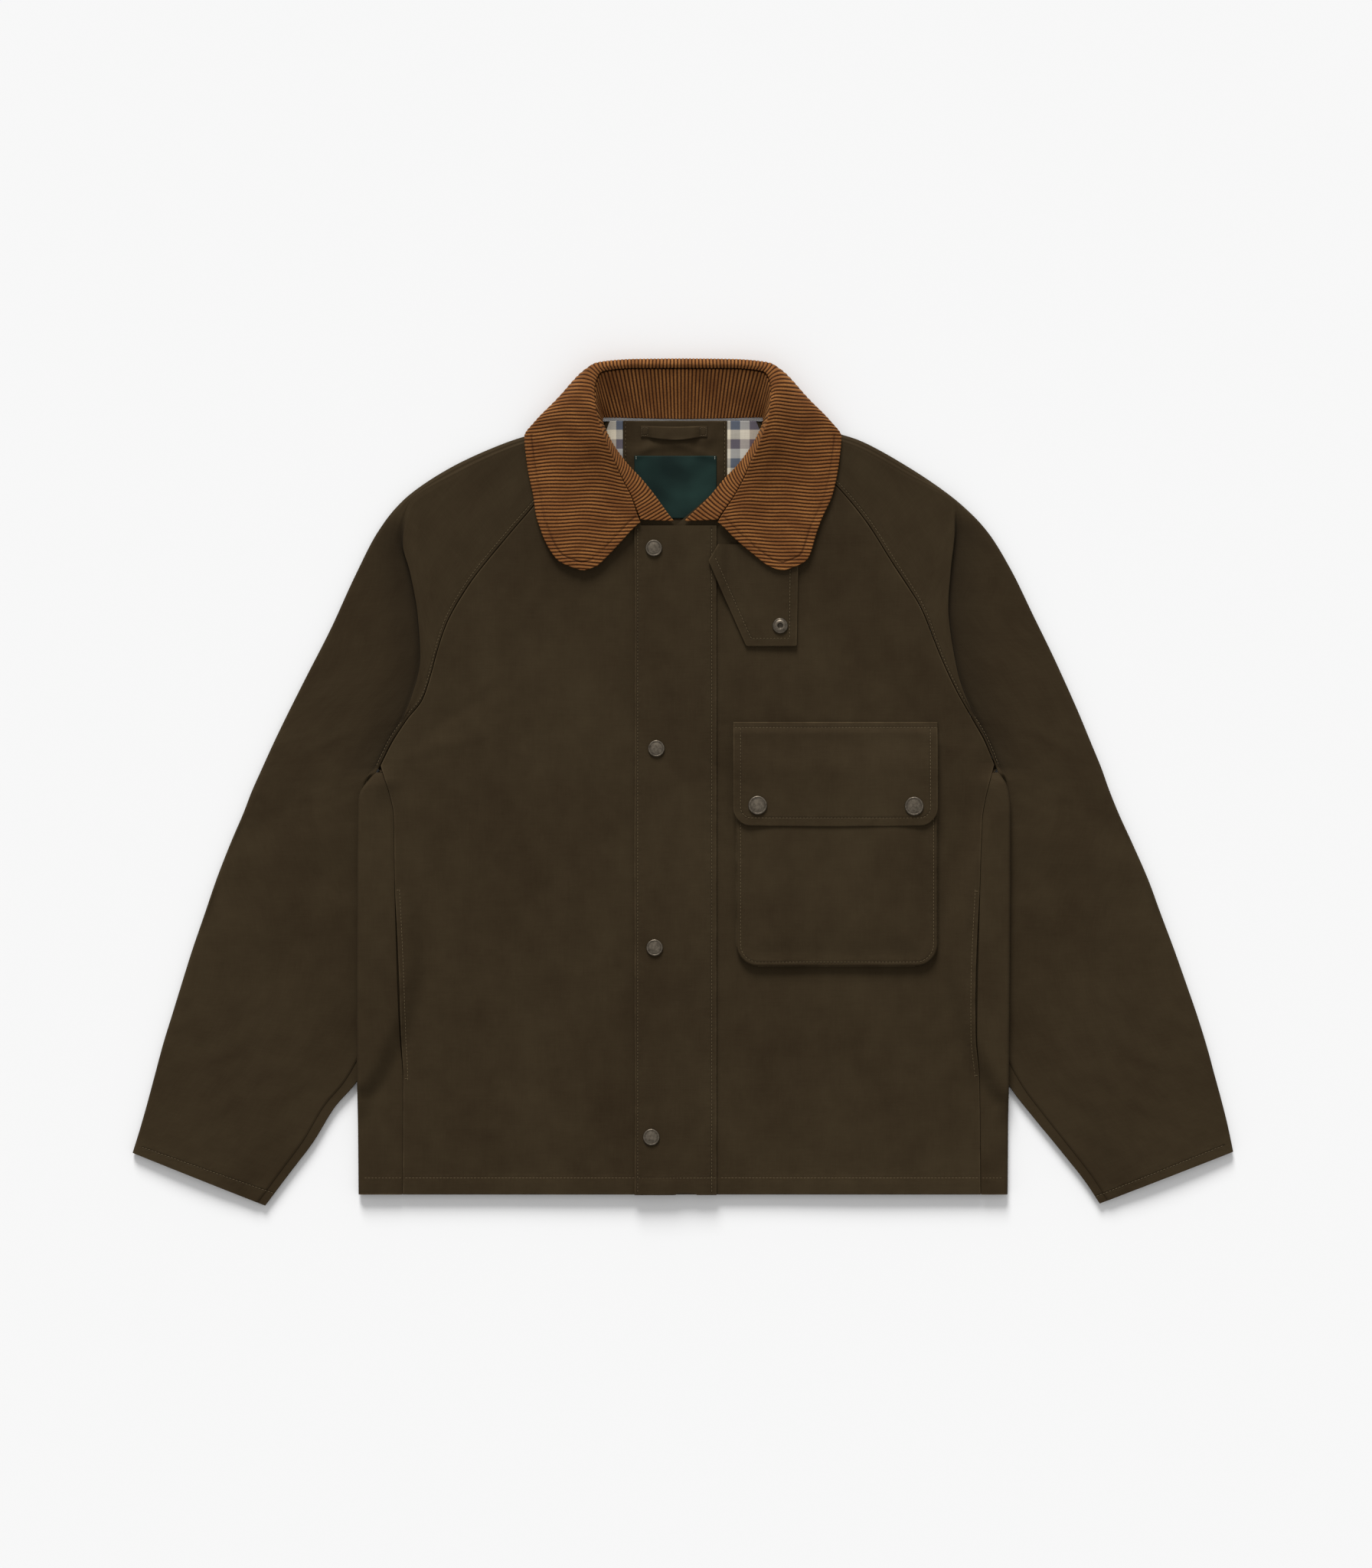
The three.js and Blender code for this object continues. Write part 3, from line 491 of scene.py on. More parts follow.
@dataclass(frozen=True)
class Thread:
    """A sewing thread's stitches: small capsules laid end to end along a line."""

    pitch: float = 3.1
    length: float = 2.4
    radius: float = 0.24
    sides: int = 6

    def template(self) -> tuple[Array, Array]:
        """One stitch along X: rings whose radius is that of a capsule, closed at the tips."""
        along = np.array([-0.5, -0.36, 0, 0.36, 0.5])
        size = np.array([0.15, 0.8, 1.0, 0.8, 0.15])
        turn = np.arange(self.sides) * 2 * np.pi / self.sides
        ring = np.stack([np.zeros_like(turn), np.cos(turn), np.sin(turn)], -1) * self.radius
        points = ring[None] * size[:, None, None]
        points[..., 0] = along[:, None] * self.length
        points[..., 2] -= (np.abs(along) * 2 * self.radius * 0.9)[:, None]
        number, sides = ring_faces(along.size, self.sides)
        half_caps = number[:, :4], number[:, [3, 4, 5, 0]]
        ends = np.array([face for half in half_caps for face in (half[0][::-1], half[-1])])
        return points.reshape(-1, 3), np.concatenate([sides, ends])

    def sew_on(self, name: str, paths: Sequence[Array], height: HeightField) -> bpy.types.Object:
        """Sews lines that are given in plan onto a surface."""
        return self.sew(name, [on_surface(path, height) for path in paths])

    def sew(self, name: str, lines: Sequence[Array]) -> bpy.types.Object:
        """Lays stitches along lines of points on a surface, each one pitch after the last, square to Z.

        Args:
            name: The piece's name.
            lines: Lines of points, shape (n, 3), millimetres.

        Returns:
            One object that holds every stitch.
        """
        template, faces = self.template()
        centres, ways = [], []
        for line in lines:
            run = run_along(line)
            at = np.arange(self.pitch / 2, run[-1], self.pitch)
            ends = [np.stack([np.interp(at + half, run, line[:, k]) for k in range(3)], -1)
                    for half in (-self.length / 2, self.length / 2)]
            centres.append((ends[0] + ends[1]) / 2)
            ways.append(ends[1] - ends[0])
        centre, way = np.vstack(centres), np.vstack(ways)
        along = unit(way)
        side = unit(np.cross([0, 0, 1], along))
        up = np.cross(along, side)
        axes = np.stack([along, side, up], 1)
        points = np.einsum("tk,nkj->ntj", template, axes) + (centre + up * self.radius * 0.7)[:, None]
        quads = faces[None] + (np.arange(len(centre)) * len(template))[:, None, None]
        return new_mesh(name, points.reshape(-1, 3), quads.reshape(-1, 4), 80)


# Heights of the laid-flat body


def falling(side: Side) -> Callable[[Array | float], Array]:
    """The x of a sleeve's inner edge as a function of y, below the underarm."""
    return curve_over_y(sorted((y, x) for x, y, _, _ in ARMS[side]))


@dataclass
class BodyForm:
    """Heights that every piece on the body shares, so that the pieces stay a seam apart."""

    top: float = 7.2
    sleeve_lift: float = 7.8
    lift_ramp: float = 24.0
    neck_rise: float = 1.2
    flap_left: float = -43.5
    flap_right: float = 30.4
    pocket_depth: float = 5.4
    seam_x: dict = field(init=False)
    fold_x: dict = field(init=False)
    sleeve_x: dict = field(init=False)

    def __post_init__(self) -> None:
        """Builds the side seams, side folds and sleeve edges as curves over y."""
        self.seam_x = {side: curve_over_y(SIDE_SEAMS[side]) for side in Side}
        self.fold_x = {side: curve_over_y(SIDE_FOLDS[side]) for side in Side}
        self.sleeve_x = {side: falling(side) for side in Side}

    def ramp_end(self, side: Side, y: Array) -> Array:
        """Where the body has climbed onto the sleeve: just inside the sleeve's edge, or past the fold."""
        return np.minimum(self.sleeve_x[side](y) - 3, self.fold_x[side](y) + 8)

    def side_lift(self, x: Array, y: Array) -> Array:
        """How far the body's sides ride up over the sleeves: S-shaped steps across, below and above."""
        end = np.where(x < 0, self.ramp_end(Side.LEFT, y), self.ramp_end(Side.RIGHT, y))
        across = smooth(0, 1, (np.abs(x) - end + self.lift_ramp) / self.lift_ramp)
        return self.sleeve_lift * across * smooth(14, -1, y) * smooth(-312, -282, y)

    def soft_folds(self, x: Array, y: Array) -> Array:
        """Creases of the cloth: Gaussian troughs and ridges of uneven length, depth and spacing.

        Slow waves cross the fronts, one trough leaves each underarm, and short ones gather by the storm
        flap's right edge and at the pocket's corners.
        """
        armpit = np.hypot(np.abs(x) - 215, y - 60)
        found = -0.9 * bell(armpit, 34)
        found += 0.5 * np.sin(x / 47 + y / 130) * np.sin(y / 83 - x / 160) * smooth(250, 150, np.abs(x))
        return found + sum(Crease(*row).over(x, y) for row in FRONT_CREASES)

    def front(self, x: Array, y: Array) -> Array:
        """Top of the fronts: their level, the lift over the sleeves, the folds and the hem's extra layer."""
        hem = 0.45 * smooth(HEM_STITCH_Y, HEM_STITCH_Y - 3, y)
        rise = self.neck_rise * smooth(150, 250, y)
        return self.top + self.side_lift(x, y) + self.soft_folds(x, y) + rise + hem

    def on_front(self, x: Array, y: Array) -> Array:
        """What lies on the fronts starts a seam's clearance above them."""
        return self.front(x, y) + SEAM

    def flap_top(self, x: Array, y: Array) -> Array:
        """Top of the storm flap."""
        return self.on_front(x, y) + DOUBLE

    def bag(self, x: Array, y: Array) -> Array:
        """Face of the pocket's bag: it stands off the front, and less so by its mouth."""
        return self.on_front(x, y) + lerp(self.pocket_depth, 2.4, smooth(9, 43, y))

    def pocket_flap(self, x: Array, y: Array) -> Array:
        """Underside of the pocket's flap: on the bag below, and on the front at its sewn top."""
        low = self.on_front(x, y)
        return np.maximum(lerp(self.bag(x, y) + SEAM + 0.2, low + 0.2, smooth(44, 53.5, y)), low)

    def tab(self, x: Array, y: Array) -> Array:
        """Underside of the throat tab: over the storm flap on its left, down on the front on its right."""
        share = smooth(self.flap_right + 2, self.flap_right + 12, x)
        return lerp(self.flap_top(x, y) + 3 * SEAM, self.on_front(x, y), share)


# Body panels


@dataclass
class Sewn:
    """What a class hands over for each piece: the object, its slot, the parts it replaces and its stitches;
    its flat size, area, support and hold are not read.
    """

    piece: bpy.types.Object
    slot: Slot
    nodes: tuple[str, ...] = ()
    flat: tuple[float, float] | None = None
    area: float | None = None
    rests_on: tuple[str, ...] = ()
    stitches: bpy.types.Object | None = None
    held: str = "laid"


@dataclass
class Back:
    """The back panel, wrapped forward round both sides to the forward seams."""

    form: BodyForm
    side_radius: float = 3.6
    columns: tuple[int, int, int] = (64, 9, 12)

    def half(self, side: Side, y: Array, wrap: Array, open_x: Array) -> Array:
        """One half of each row: the flat bottom, a half round at the fold, and the strip on top.

        Args:
            side: The half's side.
            y: Each row's height.
            wrap: 1 where the row wraps to the front, 0 where it ends flat at the sleeve's hidden seam.
            open_x: Where a row that doesn't wrap ends.

        Returns:
            Shape (rows, columns, 3).
        """
        flat, arc, strip = self.columns
        fold, seam = self.form.fold_x[side](y), self.form.seam_x[side](y) + SEAM
        turn = (fold - self.side_radius)[:, None]
        sign, rows = side.value, y[:, None]
        x = turn * np.linspace(0, 1, flat)[None, 1:]
        z = self.form.side_lift(sign * x, rows + 0 * x)
        bottom = np.stack([x, rows + 0 * x, z + self.underside(sign * x, rows)], -1)
        high, low = self.form.front(sign * turn, rows), self.form.side_lift(sign * turn, rows)
        angle = np.linspace(-90, 90, arc + 2)[None, 1:-1] * np.pi / 180
        bend = np.stack([turn + self.side_radius * np.cos(angle), rows + 0 * angle,
                         (high + low) / 2 + (high - low) / 2 * np.sin(angle)], -1)
        x = lerp(np.maximum(turn, seam[:, None] + 2), seam[:, None], np.linspace(0, 1, strip)[None] ** 0.7)
        z = self.form.front(sign * x, rows + 0 * x) - rounded(x - seam[:, None])
        top = np.stack([x, rows + 0 * x, z], -1)
        wrapped = np.concatenate([bottom, bend, top], 1)
        share = np.linspace(0, 1, wrapped.shape[1])[None] ** 0.8
        level = np.stack([open_x[:, None] * share, rows + 0 * share,
                          self.underside(sign * open_x[:, None] * share, rows)], -1)
        half = lerp(level, wrapped, wrap[:, None, None])
        half[..., 0] *= sign
        return half

    def underside(self, x: Array, y: Array) -> Array:
        """Soft waves of the underside, never below the floor: squares of slow sines."""
        return 0.9 * (np.sin(x / 61 + y / 140) * np.sin(y / 97 - x / 210)) ** 2 * smooth(280, 220, np.abs(x))

    def build(self) -> Sewn:
        """Builds the rows from hem to neck and closes them to a wall."""
        low = np.concatenate([[HEM_Y, HEM_Y + 0.6, HEM_Y + 1.6], np.arange(HEM_Y + 4, 5, 4.5), [9]])
        index = np.arange(11, -0.01, -0.2)
        open_rows = {side: Curve(RAGLANS[side])(index) for side in Side}
        y = np.concatenate([low, open_rows[Side.LEFT][:, 7]])
        wrap = np.concatenate([np.ones(low.size), np.zeros(index.size)])
        halves = {}
        for side in Side:
            open_x = np.concatenate([np.full(low.size, 270.0), open_rows[side][:, 6] - SEAM])
            halves[side] = self.half(side, y, wrap, open_x)
        middle = np.stack([0 * y, y, self.underside(0 * y, y)], -1)[:, None]
        outer = np.concatenate([halves[Side.LEFT][:, ::-1], middle, halves[Side.RIGHT]], 1)
        along = np.gradient(outer, axis=1)
        length = np.maximum(np.hypot(along[..., 0], along[..., 2]), 1e-9)
        inwards = np.stack([-along[..., 2] / length, 0 * length, along[..., 0] / length], -1)
        inner = outer + WALL * inwards
        hem = line_through((-300, HEM_STITCH_Y), (300, HEM_STITCH_Y))
        x, level = outer[..., 0], outer[..., 1]
        stitch = nearest_stitch(x, level, [hem])
        surface = Surface.plain(outer, stitch, np.minimum(level - HEM_Y, STITCH_REACH))
        surface.cloth[..., 0] = run_along(outer, 1)
        piece = closed_wall("back_panel", surface, inner)
        paths = []
        for side in Side:
            seam = float(self.form.seam_x[side](HEM_STITCH_Y)) + 1
            fold = float(self.form.fold_x[side](HEM_STITCH_Y)) - 4
            paths.append(line_through((side.value * seam, HEM_STITCH_Y), (side.value * fold, HEM_STITCH_Y)))
        stitches = Thread().sew_on("back_stitches", paths, self.form.front)
        return Sewn(piece, Slot.WAXED, ("back",), (0.70, 0.70), min(surface.area(), 0.489), stitches=stitches)


@dataclass
class Front:
    """A front panel, from the meeting line under the storm flap to the side seam and the raglan seam."""

    form: BodyForm
    side: Side
    split: float = -6.6
    slit_width: float = 1.6
    slit_stitch: float = 4.2

    @property
    def slit(self) -> tuple[float, float]:
        """Lower and upper end of the hand-warmer slit in the side seam."""
        return (-267.0, -97.0) if self.side is Side.LEFT else (-264.0, -98.0)

    def edge_x(self, y: Array) -> Array:
        """The side edge: the side seam, drawn in along the slit by half a sine wave."""
        low, high = self.slit
        along = np.clip((y - low) / (high - low), 0, 1)
        return self.form.seam_x[self.side](y) - self.slit_width * np.sin(np.pi * along)

    def build(self) -> Sewn:
        """Builds the rows from hem to shoulder: each runs from the meeting line to its place on the edge."""
        sign = self.side.value
        low = np.concatenate([HEM_Y + np.array([0, 0.3, 0.8, 1.6]), np.arange(HEM_Y + 4, 1, 4), [4]])
        raglan = Curve(RAGLANS[self.side])(np.arange(11, -0.01, -0.125))
        edge = np.concatenate([self.edge_x(low), raglan[:, 0] - 2 * SEAM])
        edge_y = np.concatenate([low, raglan[:, 1] - SEAM])
        inner_x = sign * self.split + SEAM
        share = (spread(0, 260, 4) / 260)[None]
        x = lerp(inner_x, edge[:, None], share)
        inner_y = np.where(edge_y < 0, edge_y, edge_y * THROAT_Y / SHOULDER_Y)
        y = lerp(inner_y[:, None], edge_y[:, None], share)
        border = np.column_stack([sign * edge, edge_y])
        inside = np.abs(signed_distance(sign * x, y, border))
        hem = np.abs(y - HEM_Y)
        z = self.form.front(sign * x, y) - rounded(inside) - rounded(hem, 0.7)
        low_y, high_y = self.slit
        slit_y = np.linspace(low_y - 2, high_y + 2, 40)
        slit_line = np.column_stack([sign * (self.edge_x(slit_y) - self.slit_stitch), slit_y])
        inner_end = -40 if self.side is Side.LEFT else 34
        hem_line = line_through((inner_end, HEM_STITCH_Y), (sign * (float(edge[0]) - 1), HEM_STITCH_Y))
        sign_x = sign * x
        stitch = nearest_stitch(sign_x, y, [slit_line, hem_line])
        points = np.stack([sign_x, y, z], -1)
        surface = Surface.plain(points, stitch, np.minimum(np.minimum(inside, hem), STITCH_REACH))
        piece = closed_wall(f"front_panel_{self.side.word}", surface, lowered(points, WALL))
        bars = []
        for at in (low_y, high_y):
            side_x = float(self.edge_x(np.array(at)))
            bar_ends = [(sign * (side_x - gap), at) for gap in (self.slit_stitch, 0.4)]
            bars.append(line_through(*bar_ends, step=1))
        sewn = [slit_line, hem_line, *bars]
        stitches = Thread().sew_on(f"front_stitches_{self.side.word}", sewn, self.form.front)
        node = f"front_{self.side.word}"
        return Sewn(piece, Slot.WAXED, (node,), (0.29, 0.69), surface.area(), ("back",), stitches)


@dataclass
class Sleeve:
    """A raglan sleeve in one piece, from the front seam over the outer fold to the hidden back seam."""

    form: BodyForm
    side: Side
    radius: float = 2.8  # of the outer fold
    crown: float = 1.3  # how high the arm's face arches
    step: float = 2.9  # the drop behind the armhole crease
    roll: float = 0.8  # the rise up to that crease
    seam_rise: float = 2.2  # the arm's inner edge, above the middle of its thickness
    lip_gap: float = 2.2  # from the crease to the foot of its step
    least_span: float = 8.0  # a narrower row is laid out as if it were this wide
    most_turn: float = 0.6  # the largest share of a row that the outer fold takes
    topstitch: float = 3.0  # from the raglan seam
    row_length: float = 33.0  # of the cloth, between the table's rows
    columns: tuple[int, int, int, int, int] = (22, 7, 28, 9, 22)

    def rows(self) -> tuple[Array, Array, Array]:
        """The table's rows above and below the underarm on one smooth curve.

        Returns:
            Rows of front, crease, fold and back as (x, y) pairs with the drop, how closed each row is, and
            each row's place in the table.
        """
        arms = [(ix, iy, lerp(ix, fx, 0.06), lerp(iy, fy, 0.06), fx, fy, ix, iy, 0)
                for ix, iy, fx, fy in ARMS[self.side]]
        table = [*RAGLANS[self.side], *arms]
        end = len(table) - 1
        at = np.concatenate([np.arange(0, end - 0.2, 0.11), [end - 0.1, end - 0.04, end - 0.015, end]])
        return Curve(table)(at), smooth(11, 12, at), at

    def build(self) -> Sewn:
        """Builds each row as a path: seam, crease and its drop, crowned flat, half round, bottom."""
        row, closed, at = self.rows()
        sign = self.side.value
        front, crease, fold, back = (row[:, i:i + 2] * [sign, 1] for i in (0, 2, 4, 6))
        drop = row[:, 8:9]
        flat = 2 * self.radius
        shut = closed[:, None]
        seam_z = lerp(self.form.front(front[:, :1], front[:, 1:]), self.radius + self.seam_rise, shut)
        crease_z = lerp(seam_z + self.roll * drop, flat, shut)
        foot_z = lerp(crease_z - (self.step + self.roll) * drop, flat + 0.4, shut)
        upper, lip, face, arc, under = self.columns
        even = spread(0, 60, 3) / 60
        along = np.interp(np.linspace(0, 1, upper), np.linspace(0, 1, even.size), even)[None] * 0.97
        plan = lambda a, b, t: a[:, None] + (b - a)[:, None] * t[..., None]
        first = plan(front, crease, along)
        level = lerp(self.form.front(first[..., 0], first[..., 1]), seam_z, shut)
        level = level + self.roll * drop * smooth(0, 0.8, along)
        span = np.hypot(*(fold - crease).T)[:, None]
        wide = np.maximum(span, self.least_span)
        bend = np.linspace(0, 1, lip)[None]
        turn_z = lerp(crease_z, foot_z, smooth(0, 1, bend))
        lip_plan = plan(crease, fold, (bend * 1.6 - 0.5 * np.sin(np.pi * bend) * drop) / wide)
        turn = 1 - np.minimum(self.radius / span, self.most_turn)
        start = np.minimum(self.lip_gap / wide, 0.8 * turn)
        share = start + (turn - start) * np.linspace(0, 1, face)[None]
        crown = self.crown * np.sin(np.pi * np.clip(share, 0, 1)) * smooth(0, 0.3, share)
        rise = lerp(foot_z, flat, smooth(0, 0.5, share)) + crown
        face_plan = plan(crease, fold, share)
        angle = np.linspace(70, -70, arc)[None] * np.pi / 180
        arc_plan = plan(crease, fold, turn + (1 - turn) * np.cos(angle))
        arc_z = self.radius * (1 + np.sin(angle)) + 0 * span
        below = crease + (fold - crease) * turn
        back_share = np.linspace(0, 1, under)[None]
        under_plan = plan(below, back, back_share)
        under_z = 0 * span + (self.radius - 1.2) * shut * smooth(0.93, 1, back_share)
        parts = [(first, level), (lip_plan, turn_z), (face_plan, rise), (arc_plan, arc_z),
                 (under_plan, under_z)]
        outer = np.concatenate([np.concatenate([p, z[..., None]], -1) for p, z in parts], 1)
        on_top = np.arange(outer.shape[1]) < upper + lip + face
        creases = self.creases(outer[..., 0], outer[..., 1], at[:, None]) * np.where(on_top, 1, -0.35)[None]
        from_seam = smooth(0, 0.1, np.linspace(0, 1, outer.shape[1])[None])
        outer[..., 2] += creases * (closed[:, None] * 0.8 + 0.2) * from_seam
        outer[..., 2] = np.maximum(outer[..., 2], 0)
        seam_gap = np.hypot(outer[..., 0] - front[:, :1], outer[..., 1] - front[:, 1:])
        outer[..., 2] -= rounded(seam_gap) * on_top
        inner = self.inner(outer, upper + lip)
        hidden = upper + lip + face + arc
        inner[:, hidden:, 2] = np.maximum(inner[:, hidden:, 2], outer[:, hidden:, 2] + 0.45 * WALL)
        stitch, paths = self.sewing(outer, front, crease, on_top, at)
        edge = np.where(on_top[None], np.minimum(seam_gap, STITCH_REACH), STITCH_REACH)
        surface = Surface.plain(outer, stitch, edge)
        # Painted shade: beside the armhole crease the cloth's colour is darkened, most where the drop behind
        # the crease is deep, fading over about 24 mm.
        away = np.hypot(outer[..., 0] - crease[:, :1], outer[..., 1] - crease[:, 1:])
        beside = np.arange(outer.shape[1]) >= upper
        deep = smooth(0.1, 0.8, drop) * smooth(13.2, 11.2, at)[:, None]
        near = 0.55 * bell(away, 24) + 0.45 * bell(away, 4)
        surface.painted_shade = deep * near * beside
        surface.cloth[..., 0] = run_along(outer, 1)
        surface.cloth[..., 1] = at[:, None] * self.row_length
        piece = closed_wall(f"sleeve_cloth_{self.side.word}", surface, inner)
        stitches = Thread().sew(f"sleeve_stitches_{self.side.word}", paths)
        node = f"sleeve_{self.side.word}"
        area = min(surface.area(), 0.326)
        return Sewn(piece, Slot.WAXED, (node,), (0.34, 0.96), area, (), stitches, "folded")

    def creases(self, x: Array, y: Array, at: Array) -> Array:
        """Soft folds across the arm, deeper at the elbow and by the underarm, fading towards the cuff."""
        side = np.abs(x)
        elbow = 0.9 * bell(y + 70, 60) + 0.25
        waves = np.sin(y / 15 + side / 38 + 0.8 * np.sin(side / 29)) * np.sin(y / 41 - side / 53)
        long_fold = -0.8 * np.exp(-(((side - 330 + 0.34 * y) / 9) ** 2) - ((y - 20) / 60) ** 2)
        return (elbow * waves * 0.8 + long_fold) * smooth(25.0, 22.5, at)

    def inner(self, outer: Array, level_column: int) -> Array:
        """The wall's inner side: square to the path, in the plane that stands on the row's own line."""
        along = unit(np.gradient(outer, axis=1))
        level = unit((outer[:, level_column + 8] - outer[:, level_column]) * [1, 1, 0])
        forward = (along * level[:, None]).sum(-1, keepdims=True)
        return outer + WALL * along[..., 2:] * level[:, None] - WALL * forward * np.array([0, 0, 1.0])

    def sewing(self, outer: Array, front: Array, crease: Array, on_top: Array, at: Array
               ) -> tuple[Array, list[Array]]:
        """The raglan topstitch beside the seam, the cuff's line and the seam inside the arm's edge.

        Returns:
            The distance to the nearest of them over the grid, and the lines on the surface.
        """
        upper = int((at <= 11).sum())
        raglan = front[:upper] + unit((crease - front)[:upper]) * self.topstitch
        raglan = np.column_stack([raglan, self.form.front(raglan[:, 0], raglan[:, 1]) + 0.1])[4:]
        cuff = int(np.searchsorted(at, at[-1] - 0.42))
        cuff_line = outer[cuff, 4:np.flatnonzero(on_top)[-1]]
        stitch = nearest_stitch(outer[..., 0], outer[..., 1], [raglan, cuff_line])
        return np.where(on_top[None], stitch, STITCH_REACH), [raglan, cuff_line]


# Pieces sewn onto the front


def laid(name: str, x: Array, y: Array, z: Array, thickness: float, inside: Array,
         paths: Sequence[Array]) -> tuple[bpy.types.Object, float]:
    """Closes a piece that lies flat: its top rounds down at its edges, its underside is the thickness lower.

    Args:
        name: The piece's name.
        x: X over the grid.
        y: Y over the grid.
        z: The top over the grid.
        thickness: The wall.
        inside: Distance from each point to the piece's own edge.
        paths: Its stitched lines in plan.

    Returns:
        The piece and its area in square metres.
    """
    points = np.stack([x, y, z - rounded(inside)], -1)
    surface = Surface.plain(points, nearest_stitch(x, y, paths), np.minimum(inside, STITCH_REACH))
    under = np.stack([x, y, z - thickness], -1)
    return closed_wall(name, surface, under), surface.area()


@dataclass
class StormFlap:
    """The double flap over the front closing, free along its left edge."""

    form: BodyForm
    left_stitch: float = 2.8
    right_stitch: float = 4.4

    def build(self) -> Sewn:
        """Builds the rows from hem to throat; the left edge wanders by sums of slow sines."""
        left, right = self.form.flap_left, self.form.flap_right
        across = spread(left, right, 2.2)[None]
        along = (spread(0, 600, 3.4) / 600)[:, None]
        low = HEM_Y - 0.3 + 1.3 * smooth(-7, -5, across) * smooth(13, 11, across)
        y = lerp(low, THROAT_Y - 0.5, along)
        wander = 0.3 * np.sin(y / 61) + 0.18 * np.sin(y / 23 + 1)
        x = across + wander * smooth(right, left, across)
        inside = np.minimum(np.minimum(across - left, right - across), y - low)
        z = self.form.flap_top(x, y) + 0.25 * np.sin(y / 37 + x / 19) * np.sin(y / 83)
        sewn_left, sewn_right = left + self.left_stitch, right - self.right_stitch
        paths = [line_through((sewn_left, HEM_Y + 2), (sewn_left, THROAT_Y - 3)),
                 line_through((sewn_right, HEM_Y + 2), (sewn_right, THROAT_Y - 3)),
                 line_through((sewn_left, HEM_STITCH_Y), (right - 1, HEM_STITCH_Y))]
        piece, area = laid("storm_flap_cloth", x, y, z, DOUBLE, inside, paths)
        stitches = Thread().sew_on("storm_flap_stitches", paths, self.form.flap_top)
        return Sewn(piece, Slot.WAXED, ("storm_flap",), (0.074, 0.604), min(area, 0.0446),
                    ("front_panel_left", "front_panel_right"), stitches)


@dataclass(frozen=True)
class RoundedPatch:
    """A rectangle whose two lower corners are round."""

    left: float
    right: float
    top: float
    bottom: float
    corner: float

    def ends(self, y: Array, inset: float = 0.0) -> tuple[Array, Array]:
        """Where a row starts and ends: the corner's quarter circle cuts off radius - sqrt(rr - dd)."""
        radius = self.corner - inset
        depth = np.clip(self.bottom + self.corner - y, 0, radius)
        cut = self.corner - np.sqrt(np.maximum(radius**2 - depth**2, 0))
        return self.left + cut, self.right - cut

    def inside(self, x: Array, y: Array, with_top: bool = True) -> Array:
        """Distance from the outline, positive inside: that of a box, or of the corner's circle."""
        cx = np.clip(x, self.left + self.corner, self.right - self.corner)
        cy = np.maximum(y, self.bottom + self.corner)
        round_part = self.corner - np.hypot(x - cx, y - cy)
        box = np.minimum(np.minimum(x - self.left, self.right - x), y - self.bottom)
        found = np.where((cx != x) & (cy != y), round_part, box)
        return np.minimum(found, self.top - y) if with_top else found

    def line(self, inset: float, top: float) -> Array:
        """The outline moved in by inset, from the left side's top round the bottom to the right side's."""
        radius = self.corner - inset
        turn = np.linspace(np.pi, 1.5 * np.pi, 10)
        low = self.bottom + self.corner
        left = np.column_stack([self.left + self.corner + radius * np.cos(turn), low + radius * np.sin(turn)])
        right = left[::-1] * [-1, 1] + [self.left + self.right, 0]
        upper = [line_through((self.left + inset, top), tuple(left[0])), left,
                 line_through(tuple(left[-1]), tuple(right[0])), right,
                 line_through(tuple(right[-1]), (self.right - inset, top))]
        return np.vstack([part[:-1] for part in upper] + [upper[-1][-1:]])


